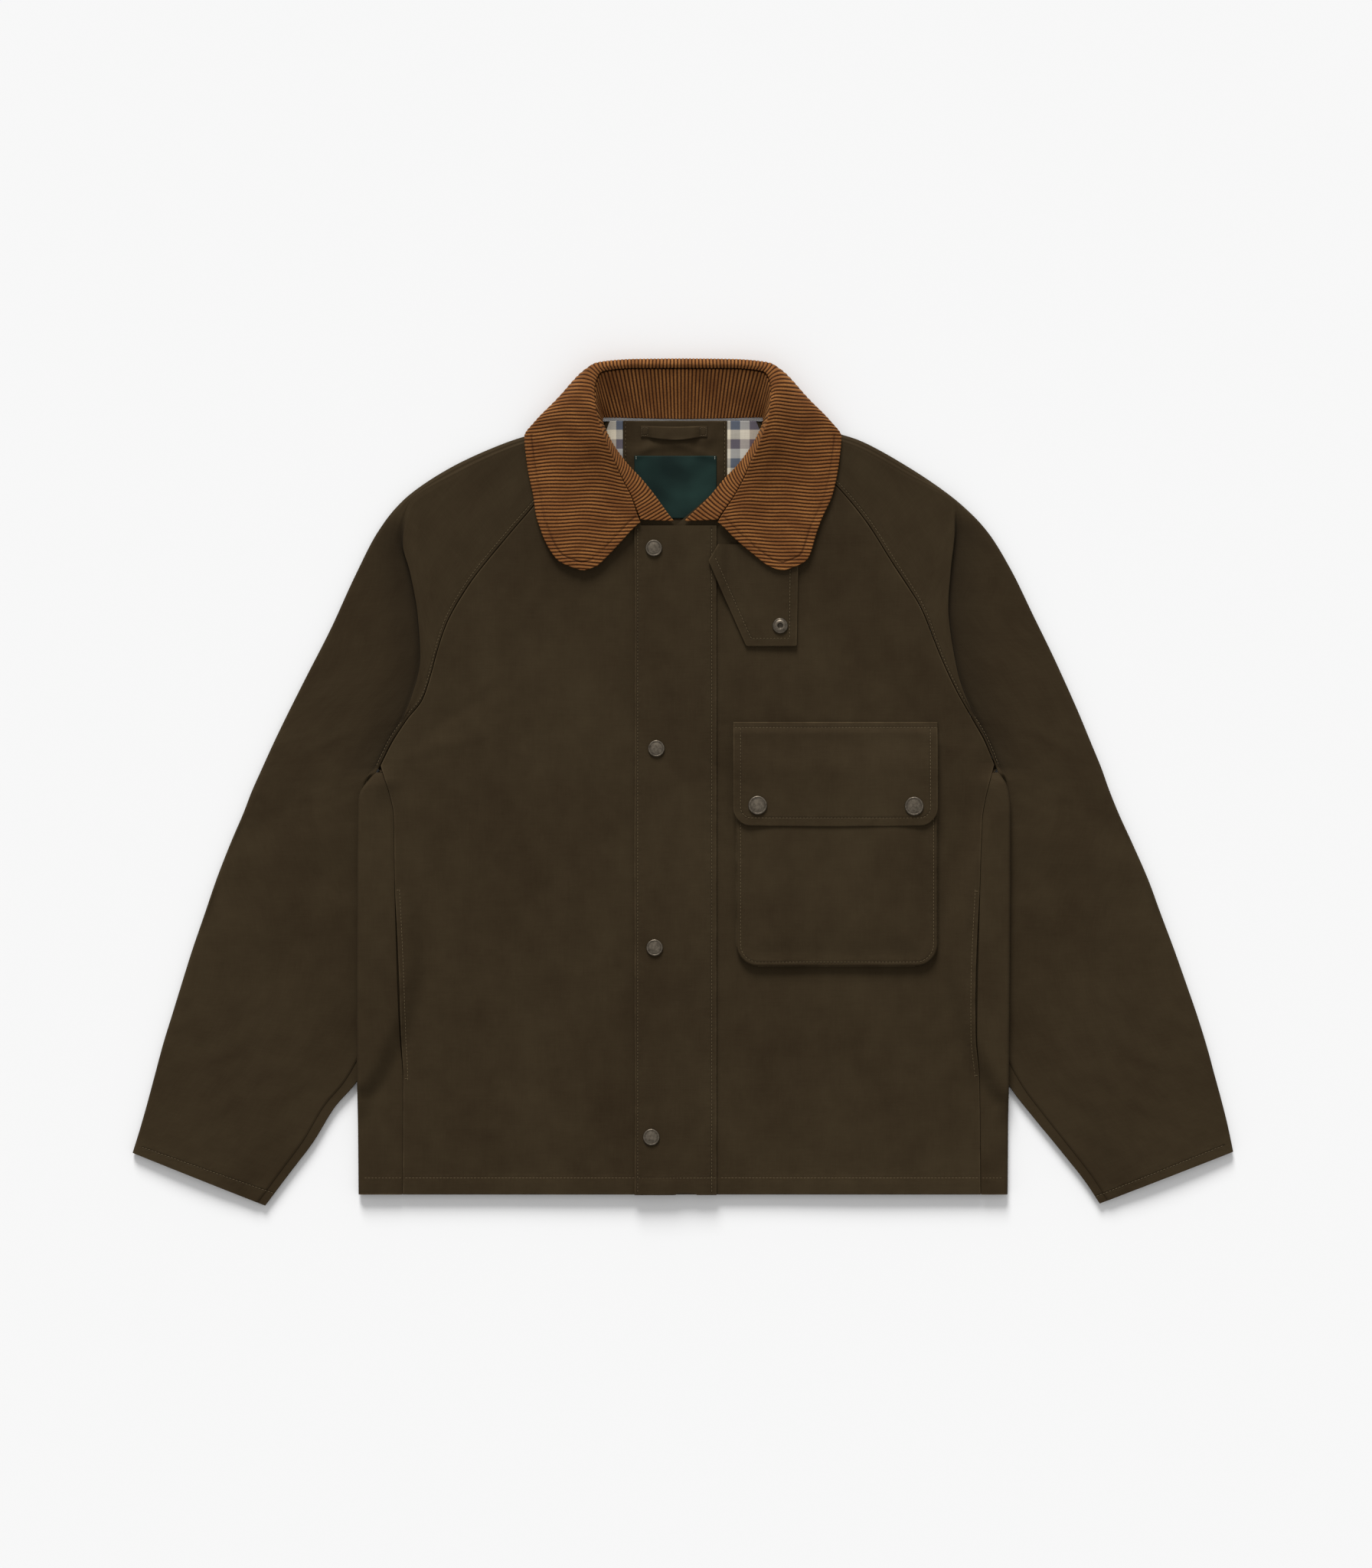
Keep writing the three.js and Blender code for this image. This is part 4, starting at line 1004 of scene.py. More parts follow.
@dataclass
class ChestPocket:
    """The bellows pocket on the chest, with its snapped flap."""

    form: BodyForm
    bag: RoundedPatch = RoundedPatch(47.6, 230.0, 43.0, -166.0, 20.0)
    flap: RoundedPatch = RoundedPatch(45.3, 229.4, 54.5, -38.6, 16.0)
    lean: float = 0.9
    bag_stitch: float = 3.4
    flap_stitch: float = 6.6
    welt_y: float = 49.4
    bellows: Pairs = ((0.35, 0.74), (-0.5, 0.5), (0.4, 0.26), (0.9, 0.0))  # way out, and share of the height
    flap_width: float = 184.0

    def bag_grid(self, inset: float, drop: float) -> Array:
        """The bag's face and its gusset, folded like bellows: out, in at half height, and out to the foot.

        Args:
            inset: How far inside the outer surface this one lies.
            drop: How far below it this one lies.

        Returns:
            Shape (rows, columns, 3).
        """
        low = self.bag.bottom + self.lean
        near = np.array([0, 0.15, 0.5, 1.1, 2.0, 3.2, 4.8, 6.8, 9.2, 12.2])
        y = np.concatenate([np.linspace(self.bag.top, low + 15, 68), (low + near)[::-1]])
        y = np.maximum(y, low + inset + 0.02 * np.arange(y.size)[::-1])
        left, right = self.bag.ends(y - self.lean, inset)
        share = (spread(0, 180, 2.6) / 180)[None]
        x = lerp((left + self.lean)[:, None], (right - self.lean)[:, None], share)
        rows = y[:, None] + 0 * x
        depth = self.bag.inside(x, rows, with_top=False)
        puff = 1.5 * smooth(0, 46, depth) * smooth(46, 10, rows) - 0.5 * bell(depth - 13, 7)
        soft = 0.35 * np.sin(x / 21 + rows / 33) * np.sin(rows / 27 - x / 60)
        face_z = self.form.bag(x, rows) + puff + soft - drop
        outer_edge = np.clip(depth - self.lean - inset, 0, None)
        face = np.stack([x, rows, face_z - rounded(outer_edge, 1.5) * (inset == 0)], -1)
        left_wall = self.gusset(face[:, 0], (-1, 0))[:, ::-1]
        full = np.concatenate([left_wall, face, self.gusset(face[:, -1], (1, 0))], 1)
        return np.concatenate([full, self.gusset(full[-1], (0, -1)).transpose(1, 0, 2)])

    def gusset(self, edge: Array, way: tuple[float, float]) -> Array:
        """The folded side below an edge of the face, whose folds lie out from it along a direction."""
        out, high = np.array(self.bellows).T
        foot = self.form.on_front(edge[..., 0], edge[..., 1])
        moved = edge[..., None, :2] + out[:, None] * way
        z = foot[..., None] + (edge[..., 2] - foot)[..., None] * high
        return np.concatenate([moved, z[..., None]], -1)

    def build_bag(self) -> Sewn:
        """Closes the bag between its outer and inner grids, and sews its edge."""
        outer, inner = self.bag_grid(0, 0), self.bag_grid(WALL, WALL)
        path = self.bag.line(self.bag_stitch + self.lean, 40)
        x, y = outer[..., 0], outer[..., 1]
        inside = np.clip(self.bag.inside(x, y, with_top=False), 0, STITCH_REACH)
        surface = Surface.plain(outer, nearest_stitch(x, y, [path]), inside)
        piece = closed_wall("chest_pocket_bag", surface, inner)
        sewn = path[(path[:, 1] < 18)]
        sunk = lambda px, py: self.form.bag(px, py) - 0.1
        stitches = Thread().sew_on("chest_pocket_stitches", [sewn], sunk)
        return Sewn(piece, Slot.WAXED, ("chest_pocket",), (0.196, 0.218), min(surface.area(), 0.0427),
                    ("front_panel_right",), stitches)

    def flap_top(self, x: Array, y: Array) -> Array:
        """Top of the flap, with the welt along its sewn top standing a little higher."""
        welt = 0.5 * smooth(self.welt_y, self.welt_y + 1.2, y)
        return self.form.pocket_flap(x, y) + DOUBLE + welt

    def build_flap(self) -> Sewn:
        """Builds the flap's rows between its rounded ends; its face waves by slow sines."""
        top, bottom = self.flap.top, self.flap.bottom
        near_edge = bottom + np.array([11.4, 9.6, 7.6, 5.6, 3.8, 2.4, 1.4, 0.7, 0.25, 0])
        y = np.concatenate([spread(top, bottom + 13, 2.2), near_edge])
        left, right = self.flap.ends(y)
        share = spread(0, self.flap_width, 2.4) / self.flap_width
        x = lerp(left[:, None], right[:, None], share[None])
        rows = y[:, None] + 0 * x
        inside = np.clip(self.flap.inside(x, rows), 0, None)
        wave = 0.3 * np.sin(x / 24) * np.sin(rows / 19 + x / 70) * smooth(0, 8, inside)
        path = self.flap.line(self.flap_stitch, self.welt_y)
        welt = line_through((self.flap.left + 1, self.welt_y), (self.flap.right - 1, self.welt_y))
        arch = np.sin(np.pi * np.clip((x - self.flap.left) / self.flap_width, 0, 1))
        y, z = rows - smooth(bottom + 26, bottom, rows) * arch, self.flap_top(x, rows) + wave
        piece, area = laid("pocket_flap_cloth", x, y, z, DOUBLE, inside, [path, welt])
        stitches = Thread().sew_on("pocket_flap_stitches", [path, welt], self.flap_top)
        return Sewn(piece, Slot.WAXED, ("pocket_flap",), (0.184, 0.094), min(area, 0.0172),
                    ("chest_pocket_bag",), stitches)


@dataclass
class ThroatTab:
    """The tab that hangs from under the collar and closes the throat."""

    form: BodyForm
    rows: tuple[tuple[float, float, float], ...] = (
        (214.6, 31.7, 104), (199.4, 22.8, 103.9), (122.6, 57, 102.7))
    corner: float = 2.2

    def curl(self, x: Array, y: Array) -> Array:
        """How far the tab's lower right corner stands up."""
        return 0.6 * smooth(30, 0, y - self.rows[-1][0]) * smooth(60, 100, x)

    def build(self) -> Sewn:
        """Builds rows between straight sides, rounding down by the distance to the tab's outline."""
        y = spread(self.rows[0][0], self.rows[-1][0], 2.0)
        at = [row[0] for row in self.rows[::-1]]
        left, right = (np.interp(y, at, [row[i] for row in self.rows[::-1]]) for i in (1, 2))
        below = 1 - np.clip((y - y[-1]) / self.corner, 0, 1)
        low_round = self.corner * (1 - np.sqrt(np.clip(1 - below**2, 0, 1)))
        x = lerp((left + low_round)[:, None], (right - low_round)[:, None], (spread(0, 70, 2) / 70)[None])
        rows = y[:, None] + 0 * x
        left_side = [(row[1], row[0]) for row in self.rows]
        right_side = [(row[2], row[0]) for row in (self.rows[-1], self.rows[0])]
        outline = line_through(*left_side, *right_side)
        inside = np.abs(signed_distance(x, rows, outline))
        top = lambda px, py: self.form.tab(px, py) + DOUBLE + 0.05 + self.curl(px, py)
        path = line_through((29.2, 202.2), (61.5, 129.6), (96, 129.6), (96.8, 208))
        piece, area = laid("throat_tab_cloth", x, rows, top(x, rows), DOUBLE, inside, [path])
        return Sewn(piece, Slot.WAXED, ("throat_tab",), (0.083, 0.094), min(area, 0.0077),
                    ("front_panel_right",), Thread().sew_on("throat_tab_stitches", [path], top))


@dataclass
class SnapFasteners:
    """Snap caps on the storm flap and the pocket flap, and the throat tab's socket."""

    form: BodyForm
    pocket: ChestPocket
    flap_caps: Pairs = ((-26.2, 211.1), (-23.9, 30.6), (-25.5, -148.8), (-28.5, -319.5))
    pocket_caps: Pairs = ((67.3, -20.5), (208, -21.3))
    socket: tuple[float, float] = (87.6, 141.1)
    segments: int = 48
    flap_cap_radius: float = 7.5
    pocket_cap_radius: float = 8.5
    socket_radius: float = 7.0
    cap: Pairs = (
        (0.9, 0), (0.985, 0.2), (1, 0.5), (0.995, 0.85), (0.965, 1.2), (0.92, 1.42), (0.87, 1.46),
        (0.825, 1.3), (0.79, 1.16), (0.75, 1.2), (0.62, 1.46), (0.45, 1.68), (0.25, 1.82), (0.1, 1.86))
    ring: Pairs = (
        (0.95, 0), (1, 0.45), (0.985, 0.85), (0.93, 1.2), (0.87, 1.34), (0.8, 1.2), (0.74, 1.35),
        (0.66, 1.75), (0.55, 2.05), (0.44, 2.1), (0.37, 1.9), (0.33, 1.4), (0.31, 0.6), (0.27, 0.35),
        (0.1, 0.3))

    def turned(self, name: str, profile: Pairs, radius: float, place: tuple[float, float], base: float
               ) -> bpy.types.Object:
        """Turns a profile of (share of the radius, height) round a vertical axis, closed at both poles.

        Height above the profile's lowest face is kept as the worn mark, which is highest on raised metal.
        """
        shares = np.array(profile)
        turn = np.arange(self.segments) * 2 * np.pi / self.segments
        ring = np.stack([np.cos(turn), np.sin(turn)], -1)
        heights = np.broadcast_to(shares[:, 1:, None], (len(shares), self.segments, 1))
        rings = np.concatenate([ring[None] * (shares[:, :1, None] * radius), heights], -1)
        poles = np.array([[0, 0, shares[0, 1]], [0, 0, shares[-1, 1]]])
        points = np.concatenate([rings.reshape(-1, 3), poles]) + [*place, base]
        number, sides = ring_faces(len(shares), self.segments)
        low, high = len(points) - 2, len(points) - 1
        first, last = number[0], number[-1]
        fans = []
        for pole, row in ((low, first[::-1]), (high, last)):
            centre = np.full(self.segments // 2, pole)
            fans.append(np.stack([centre, row[0::2], row[1::2], np.roll(row, -2)[0::2]], -1))
        piece = new_mesh(name, points, np.concatenate([sides, *fans]), 40)
        height = points[:, 2] - base
        worn = smooth(0.9, 1.6, height)
        piece.data.attributes.new("worn", "FLOAT", "POINT").data.foreach_set("value", worn.astype(np.float32))
        return piece

    def seat(self, height: HeightField, place: tuple[float, float], radius: float) -> float:
        """The highest point under the piece, so that it clears the cloth all round."""
        turn = np.linspace(0, 2 * np.pi, 9)
        x = np.append(place[0] + radius * np.cos(turn), place[0])
        y = np.append(place[1] + radius * np.sin(turn), place[1])
        return float(height(x, y).max()) + SEAM

    def build(self) -> list[Sewn]:
        """Turns each cap and the socket, seated on the cloth under it."""
        made = []
        for i, place in enumerate(self.flap_caps, 1):
            base = self.seat(self.form.flap_top, place, self.flap_cap_radius)
            cap = self.turned(f"snap_cap_{i}", self.cap, self.flap_cap_radius, place, base)
            made.append(Sewn(cap, Slot.BRASS, (f"snap_{i}",)))
        for i, place in enumerate(self.pocket_caps, 1):
            base = self.seat(self.pocket.flap_top, place, self.pocket_cap_radius)
            cap = self.turned(f"pocket_cap_{i}", self.cap, self.pocket_cap_radius, place, base)
            made.append(Sewn(cap, Slot.BRASS, (f"flap_snap_{i}",)))
        base = self.seat(lambda x, y: self.form.tab(x, y) + DOUBLE + 0.4, self.socket, self.socket_radius)
        ring = self.turned("tab_ring", self.ring, self.socket_radius, self.socket, base)
        made.append(Sewn(ring, Slot.BRASS, ("tab_socket",)))
        return made


@dataclass
class NeckInside:
    """What shows inside the neck: yoke, checked lining, a bare label and the hanger loop."""

    base: float = WALL + SEAM
    yoke_left: float = -53.8
    yoke_right: float = 39.7
    label: tuple[float, float, float, float] = (-43.8, 30.4, 238.0, 294.6)
    loop_box: tuple[float, float, float, float] = (-38.0, 22.0, 311.5, 321.5)
    label_wall: float = 0.8

    def folds(self, x: Array, y: Array) -> Array:
        """Soft folds of the loose lining: ridges across the yoke under the loop, all above the back."""
        low_waves = 0.25 * (1 + np.sin(x / 13 + y / 19))
        return low_waves + sum(Crease(*row, wander=0).over(x, y) for row in LINING_RIDGES)

    def panel(self, name: str, rows: Sequence[tuple[float, float, float]], height: HeightField,
              thickness: float, paths: Sequence[Array]) -> tuple[bpy.types.Object, float]:
        """A flat piece between straight sides, from rows of (y, left, right), lowest first."""
        table = np.array(rows, float)
        y = spread(table[0, 0], table[-1, 0], 1.8)
        left, right = (np.interp(y, table[:, 0], table[:, i]) for i in (1, 2))
        width = float((right - left).max())
        share = (spread(0, width, 1.8) / width)[None]
        x = lerp(left[:, None], right[:, None], share)
        level = y[:, None] + 0 * x
        inside = within(x, level, left[:, None], right[:, None], y[0], y[-1])
        return laid(name, x, level, height(x, level) + thickness, thickness, inside, paths)

    def build(self) -> list[Sewn]:
        """Builds the yoke, the lining on both sides of it, the label and the loop."""
        top = NECK_SEAM_Y - 0.2
        lining = lambda x, y: self.base + self.folds(x, y)
        over_yoke = lambda x, y: lining(x, y) + THIN + SEAM
        edges = [line_through((x, 250), (x, top)) for x in (self.yoke_left + 2, self.yoke_right - 2)]
        rows = [(y, self.yoke_left, self.yoke_right) for y in (226, top)]
        yoke, yoke_area = self.panel("back_yoke_cloth", rows, lining, THIN, edges)
        on_yoke = lambda x, y: lining(x, y) + THIN
        stitches = Thread(pitch=3.6, length=2.4).sew_on("back_yoke_stitches", edges, on_yoke)
        made = [Sewn(yoke, Slot.WAXED, ("back_yoke",), (0.0935, 0.1), min(yoke_area, 0.0093), ("back_panel",),
                     stitches)]
        for side, rows in ((Side.LEFT, [(270, -90, -54.1), (306, -73.5, -54.1), (top, -66, -54.1)]),
                           (Side.RIGHT, [(256, 40, 94), (306, 40, 74.5), (top, 40, 66)])):
            piece, area = self.panel(f"lining_cloth_{side.word}", rows, lining, THIN, [])
            flat = (0.036, 0.0563) if side is Side.LEFT else (0.054, 0.0703)
            made.append(Sewn(piece, Slot.CHECK, (f"lining_{side.word}",), flat, min(area, flat[0] * flat[1]),
                             ("back_panel",)))
        left, right, low, high = self.label
        rows = [(low, left, right), (high, left, right)]
        piece, area = self.panel("neck_label_cloth", rows, over_yoke, self.label_wall, [])
        corner = [line_through((x, high - 3.4), (x, high - 0.2), step=1) for x in (left + 1.6, right - 1.6)]
        on_label = lambda x, y: over_yoke(x, y) + self.label_wall
        label_stitches = Thread(1.5, 1.2, 0.2).sew_on("neck_label_stitches", corner, on_label)
        made.append(Sewn(piece, Slot.LABEL, ("neck_label",), (0.0742, 0.0566), min(area, 0.00419),
                         ("back_yoke_cloth",), label_stitches))
        made.append(self.loop(over_yoke))
        return made

    def loop(self, over_yoke: HeightField) -> Sewn:
        """The hanger loop: a strip that stands off the yoke between its sewn ends and sags in the middle."""
        left, right, low, high = self.loop_box
        share = spread(0, right - left, 1.4) / (right - left)
        x = lerp(left, right, share)[None]
        across = spread(low, high, 1.2)[:, None]
        arch = np.sin(np.pi * np.clip((share[None] - 0.1) / 0.8, 0, 1))
        y = across - 2.0 * arch * smooth(high, low, across) - 0.8 * arch
        x = x + 0 * y
        crown = 0.5 * np.sin(np.pi * (across - low) / (high - low))
        z = over_yoke(x, y) + 0.9 + 1.9 * smooth(0, 0.35, arch) + crown
        inside = within(x, across, left, right, low, high)
        boxes = [line_through((a, 313), (b, 313), (b, 320), (a, 320), (a, 313), step=1.5)
                 for a, b in ((-37, -31.5), (15.5, 21))]
        piece, area = laid("hanger_loop_strip", x, y, z + 0.2, 1.4, inside, boxes)
        sewn_down = lambda px, py: over_yoke(px, py) + 1.3
        stitches = Thread(2.2, 1.7, 0.2).sew_on("hanger_loop_stitches", boxes, sewn_down)
        return Sewn(piece, Slot.WAXED, ("hanger_loop",), (0.062, 0.0115), min(area, 0.00071),
                    ("back_yoke_cloth",), stitches)


# Collar


@dataclass(frozen=True)
class Wales:
    """The cords of the corduroy: rounded ridges of even pitch with narrow valleys."""

    pitch: float = WALE_PITCH
    depth: float = 0.62
    samples: int = 6

    def relief(self, along: Array) -> Array:
        """Depth below the ridges: depth times |cos| of half a turn a pitch, to the power 0.8, less 1."""
        return self.depth * (np.abs(np.cos(np.pi * along / self.pitch)) ** 0.8 - 1)


@dataclass
class Collar:
    """The corduroy collar: a stand round the neck and a leaf that falls over it."""

    wales: Wales = Wales()
    stitch_inset: float = 7.0

    def surface(self, table: Sequence[Sequence[float]], a: Array, b: Array) -> Array:
        """A point of the leaf: the table's section at a, read at b of its own control points."""
        controls = Curve(table)(a)
        return hermite(controls.reshape(controls.shape[:-1] + (-1, 3)), b)

    def stand_surface(self, a: Array, f: Array) -> Array:
        """A point of the stand: f of the way from its foot to its top, hollowed by half a sine wave."""
        row = Curve(STAND)(a)
        point = row[..., 3:] + (row[..., :3] - row[..., 3:]) * f[..., None]
        point[..., 2] -= 0.8 * np.sin(np.pi * f)
        return point

    def tip_shift(self, y: Array) -> Array:
        """How far the collar's front lies to the left of the middle, fading in and out by S-shaped steps."""
        return -3.4 * smooth(262, 234, y) * smooth(190, 225, y)

    def wale_lines(self, plan: Array, wale: Array, count: int) -> tuple[Array, Array, Array]:
        """Finds the places on a surface where the wale coordinate is each of an even row of values.

        Along each column of the lookup grid the wale coordinate rises, so it is turned round there. A line
        starts at the front edge, or where the surface starts if the wale passes above that edge.

        Args:
            plan: The lookup's own coordinates, shape (m, n, 2), rising along axes 0 and 1.
            wale: The wale coordinate at each of them.
            count: How many places each line has.

        Returns:
            The places' two coordinates, and each line's wale value.
        """
        a_axis, b_axis = plan[:, 0, 0], plan[0, :, 1]
        rising = np.maximum.accumulate(wale, axis=0) + 1e-5 * a_axis[:, None]
        step = self.wales.pitch / self.wales.samples
        start, end = rising[0].min(), rising[-1].min()
        value = end - np.arange(int((end - start) / step), -1, -1) * step
        found = np.stack([np.interp(value, column, a_axis) for column in rising.T], 1)
        first = rising[0]
        if first[0] > first[-1]:
            low, high = np.interp(value, first[::-1], b_axis[::-1]), np.full(value.size, b_axis[-1])
        else:
            low, high = np.zeros(value.size), np.interp(value, first, b_axis)
        wide = high - low > 0.035 * b_axis[-1]
        value, low, high, found = value[wide], low[wide], high[wide], found[wide]
        share = spread(0, 70, 70 / count) / 70
        b = low[:, None] + (high - low)[:, None] * share[None]
        place = b / b_axis[-1] * (b_axis.size - 1)
        k = np.clip(place.astype(int), 0, b_axis.size - 2)
        row = np.arange(value.size)[:, None]
        a = lerp(found[row, k], found[row, k + 1], place - k)
        return a, b, value

    def leaf_half(self, side: Side) -> tuple[Array, Array]:
        """One half of the leaf, each row along a wale: level on the leaf, turning over the shoulder.

        The wale coordinate is the height Y, with slow waves and a sag by the seam. Behind the shoulder it
        becomes the length along the roll.
        """
        a, b = np.meshgrid(np.linspace(0, 9, 361), np.linspace(0, 5, 81), indexing="ij")
        lookup = self.surface(LEAF, a, b)
        roll = lookup[:, 16]
        run = run_along(roll)
        behind = (roll[200, 1] - run[200] + run)[:, None] + 0 * b
        x, y = lookup[..., 0], lookup[..., 1]
        waves = 0.9 * np.sin(x / 17 + side.value) + 0.5 * np.sin(x / 7.3 + y / 31 + 2 * side.value)
        sag = 1.7 * bell(b, 0.7) * smooth(0, 1.2, a)
        wale = lerp(y + waves + sag, behind, smooth(4.9, 7.0, a))
        lines_a, lines_b, value = self.wale_lines(np.stack([a, b], -1), wale, 40)
        return self.surface(LEAF, lines_a, lines_b), value

    def stand_half(self) -> tuple[Array, Array]:
        """One half of the stand, each row along a wale: aslant at the front, upright behind the neck."""
        a, f = np.meshgrid(np.linspace(0, 9, 361), np.linspace(0, 1, 41), indexing="ij")
        lookup = self.stand_surface(a, f)
        runs = [run_along(lookup[:, i]) for i in (0, -1)]
        lean = 17 * (1 - smooth(2.5, 5.6, a))
        wale = ((runs[0] + runs[1]) / 2)[:, None] + lean * f
        lines_a, lines_f, value = self.wale_lines(np.stack([a, f], -1), wale, 18)
        return self.stand_surface(lines_a, lines_f), value

    def cord_piece(self, name: str, halves: Sequence[tuple[Array, Array]], outlines: Sequence[Array]
                   ) -> tuple[bpy.types.Object, float]:
        """Joins both halves at the middle of the back, and raises the wales along the surface's normals.

        The edges round over before the wales are raised, so that the ribs' ends show along them.
        """
        (left, left_value), (right, right_value) = halves
        base = np.concatenate([left * [-1, 1, 1], right[-2::-1]])
        base[..., 0] += self.tip_shift(base[..., 1])
        value = np.concatenate([left_value, left_value[-1] + right_value[-1] - right_value[-2::-1]])
        out = -normals(base)
        run = run_along(base, 1)
        ends = np.minimum(run, run[:, -1:] - run)
        turned = base - out * rounded(ends, 1.1)[..., None]
        lump = 1 + 0.12 * np.sin(value / 5.1)[:, None] * np.sin(run / 9)
        shape = self.wales.relief(value - left_value[-1])[:, None] * lump
        stitch = np.full(run.shape, STITCH_REACH)
        if outlines:
            stitch = nearest_stitch(base[..., 0], base[..., 1], outlines)
        groove = -0.55 * bell(stitch, 0.9)
        tilt = -normals(turned)
        outer = turned + tilt * shape[..., None] + out * groove[..., None]
        cloth = np.stack([run, (value - left_value[-1])[:, None] + 0 * run], -1)
        surface = Surface(outer, cloth, stitch, np.minimum(ends, STITCH_REACH))
        return closed_wall(name, surface, base - out * CORD_WALL), Surface.plain(base).area()

    def leaf_stitching(self, side: Side) -> Array:
        """The leaf's topstitch: its front and outer edges, moved in by the inset along the sections."""
        tip = Curve(LEAF)(np.array([0.0])).reshape(-1, 6, 3)[0]
        outer = self.surface(LEAF, np.linspace(0, 5, 40), np.full(40, 5.0))
        edge = np.vstack([tip[:-1, :2], outer[:, :2]])
        way = unit(np.gradient(edge, axis=0))
        moved = edge + np.column_stack([-way[:, 1], way[:, 0]]) * self.stitch_inset
        keep = np.abs(signed_distance(moved[:, 0], moved[:, 1], edge)) > self.stitch_inset * 0.96
        moved = moved[keep] * [side.value, 1]
        moved[:, 0] += self.tip_shift(moved[:, 1])
        return moved

    def build(self) -> list[Sewn]:
        """Builds the stand and the leaf."""
        half = self.stand_half()
        stand, stand_area = self.cord_piece("collar_stand_cord", (half, half), [])
        lines = [self.leaf_stitching(side) for side in Side]
        leaf, leaf_area = self.cord_piece("collar_leaf_cord", [self.leaf_half(side) for side in Side], lines)
        return [Sewn(stand, Slot.CORDUROY, ("collar_stand",), (0.40, 0.045), min(stand_area, 0.0178)),
                Sewn(leaf, Slot.CORDUROY, ("collar_leaf",), (0.52, 0.095), min(leaf_area, 0.0489),
                     ("collar_stand_cord",), None, "folded")]


# Finishes


def srgb(red: int, green: int, blue: int) -> Rgba:
    """A colour given as it shows on a screen, 0 to 255, as linear light."""
    shown = [value / 255 for value in (red, green, blue)]
    return (*(v / 12.92 if v <= 0.04045 else ((v + 0.055) / 1.055) ** 2.4 for v in shown), 1.0)


class Graph:
    """Places shader nodes in a tree and wires them."""

    def __init__(self, tree: bpy.types.NodeTree) -> None:
        """Starts with an empty tree."""
        self.tree = tree
        tree.nodes.clear()

    def put(self, kind: str, inputs: dict | None = None, **settings: object) -> bpy.types.Node:
        """Adds a node. An input is a value, or a socket that is linked to it.

        Args:
            kind: The node's type.
            inputs: Values or sockets by the input's name or number.
            **settings: The node's own properties.

        Returns:
            The node.
        """
        node = self.tree.nodes.new(kind)
        for name, value in settings.items():
            setattr(node, name, value)
        self.feed(node, inputs or {})
        return node

    def feed(self, node: bpy.types.Node, inputs: dict) -> None:
        """Sets a node's inputs, or links them where a socket is given."""
        for name, value in inputs.items():
            if isinstance(value, bpy.types.NodeSocket):
                self.tree.links.new(value, node.inputs[name])
            else:
                node.inputs[name].default_value = value

    def math(self, operation: str, *values: object) -> bpy.types.NodeSocket:
        """A Math node's result."""
        return self.put("ShaderNodeMath", dict(enumerate(values)), operation=operation).outputs[0]

    def times(self, first: object, second: object) -> bpy.types.NodeSocket:
        """The product of two sockets or numbers."""
        return self.math("MULTIPLY", first, second)

    def plus(self, first: object, second: object) -> bpy.types.NodeSocket:
        """The sum of two sockets or numbers."""
        return self.math("ADD", first, second)

    def noise(self, where: bpy.types.NodeSocket, scale: tuple[float, float, float], detail: float = 3.0
              ) -> bpy.types.NodeSocket:
        """Noise from 0 to 1 with its own scale along each axis."""
        placed = self.put("ShaderNodeMapping", {"Vector": where, "Scale": scale}).outputs[0]
        return self.put("ShaderNodeTexNoise", {"Vector": placed, "Scale": 1.0, "Detail": detail}).outputs[0]

    def bell(self, distance: object, width: float) -> bpy.types.NodeSocket:
        """exp(-(distance / width) squared)."""
        share = self.math("DIVIDE", distance, width)
        return self.math("EXPONENT", self.times(self.times(share, share), -1.0))

    def blend(self, share: object, low: object, high: object) -> bpy.types.NodeSocket:
        """A colour between two, by a share from 0 to 1."""
        return self.put("ShaderNodeMix", {0: share, 6: low, 7: high}, data_type="RGBA").outputs[2]

    def ranged(self, value: object, low: float, high: float, to_low: float = 0.0, to_high: float = 1.0
               ) -> bpy.types.NodeSocket:
        """A value's place between low and high, carried over to another range and held there."""
        return self.put("ShaderNodeMapRange", {0: value, 1: low, 2: high, 3: to_low, 4: to_high}).outputs[0]


def new_group(name: str, inputs: Sequence[str], outputs: Sequence[str]) -> tuple[
        Graph, bpy.types.bpy_prop_collection, bpy.types.Node]:
    """An empty node group that is given the cloth's coordinates and numbers, and returns numbers.

    Args:
        name: The group's name.
        inputs: The names of the numbers it is given.
        outputs: The names of the numbers it returns.

    Returns:
        Its graph, the sockets of what it is given by name, and its output node.
    """
    tree = bpy.data.node_groups.new(name, "ShaderNodeTree")
    tree.interface.new_socket("Cloth", in_out="INPUT", socket_type="NodeSocketVector")
    for way, labels in (("INPUT", inputs), ("OUTPUT", outputs)):
        for label in labels:
            tree.interface.new_socket(label, in_out=way, socket_type="NodeSocketFloat")
    graph = Graph(tree)
    return graph, graph.put("NodeGroupInput").outputs, graph.put("NodeGroupOutput")


def make_weave() -> bpy.types.NodeTree:
    """Woven threads: noise drawn out along warp and weft, whose mean is the height and the tone."""
    graph, given, result = new_group("woven_threads", ("Fineness",), ("Height", "Tone"))
    scaled = {0: given["Cloth"], "Scale": given["Fineness"]}
    cloth = graph.put("ShaderNodeVectorMath", scaled, operation="SCALE").outputs[0]
    warp = graph.noise(cloth, (1100, 90, 1), 2.0)
    weft = graph.noise(cloth, (90, 1100, 1), 2.0)
    both = graph.times(graph.plus(warp, weft), 0.5)
    slub = graph.times(graph.plus(graph.noise(cloth, (420, 22, 1)), graph.noise(cloth, (22, 420, 1))), 0.5)
    tone = graph.plus(graph.times(both, 0.6), graph.times(slub, 0.4))
    graph.feed(result, {"Height": both, "Tone": tone})
    return graph.tree


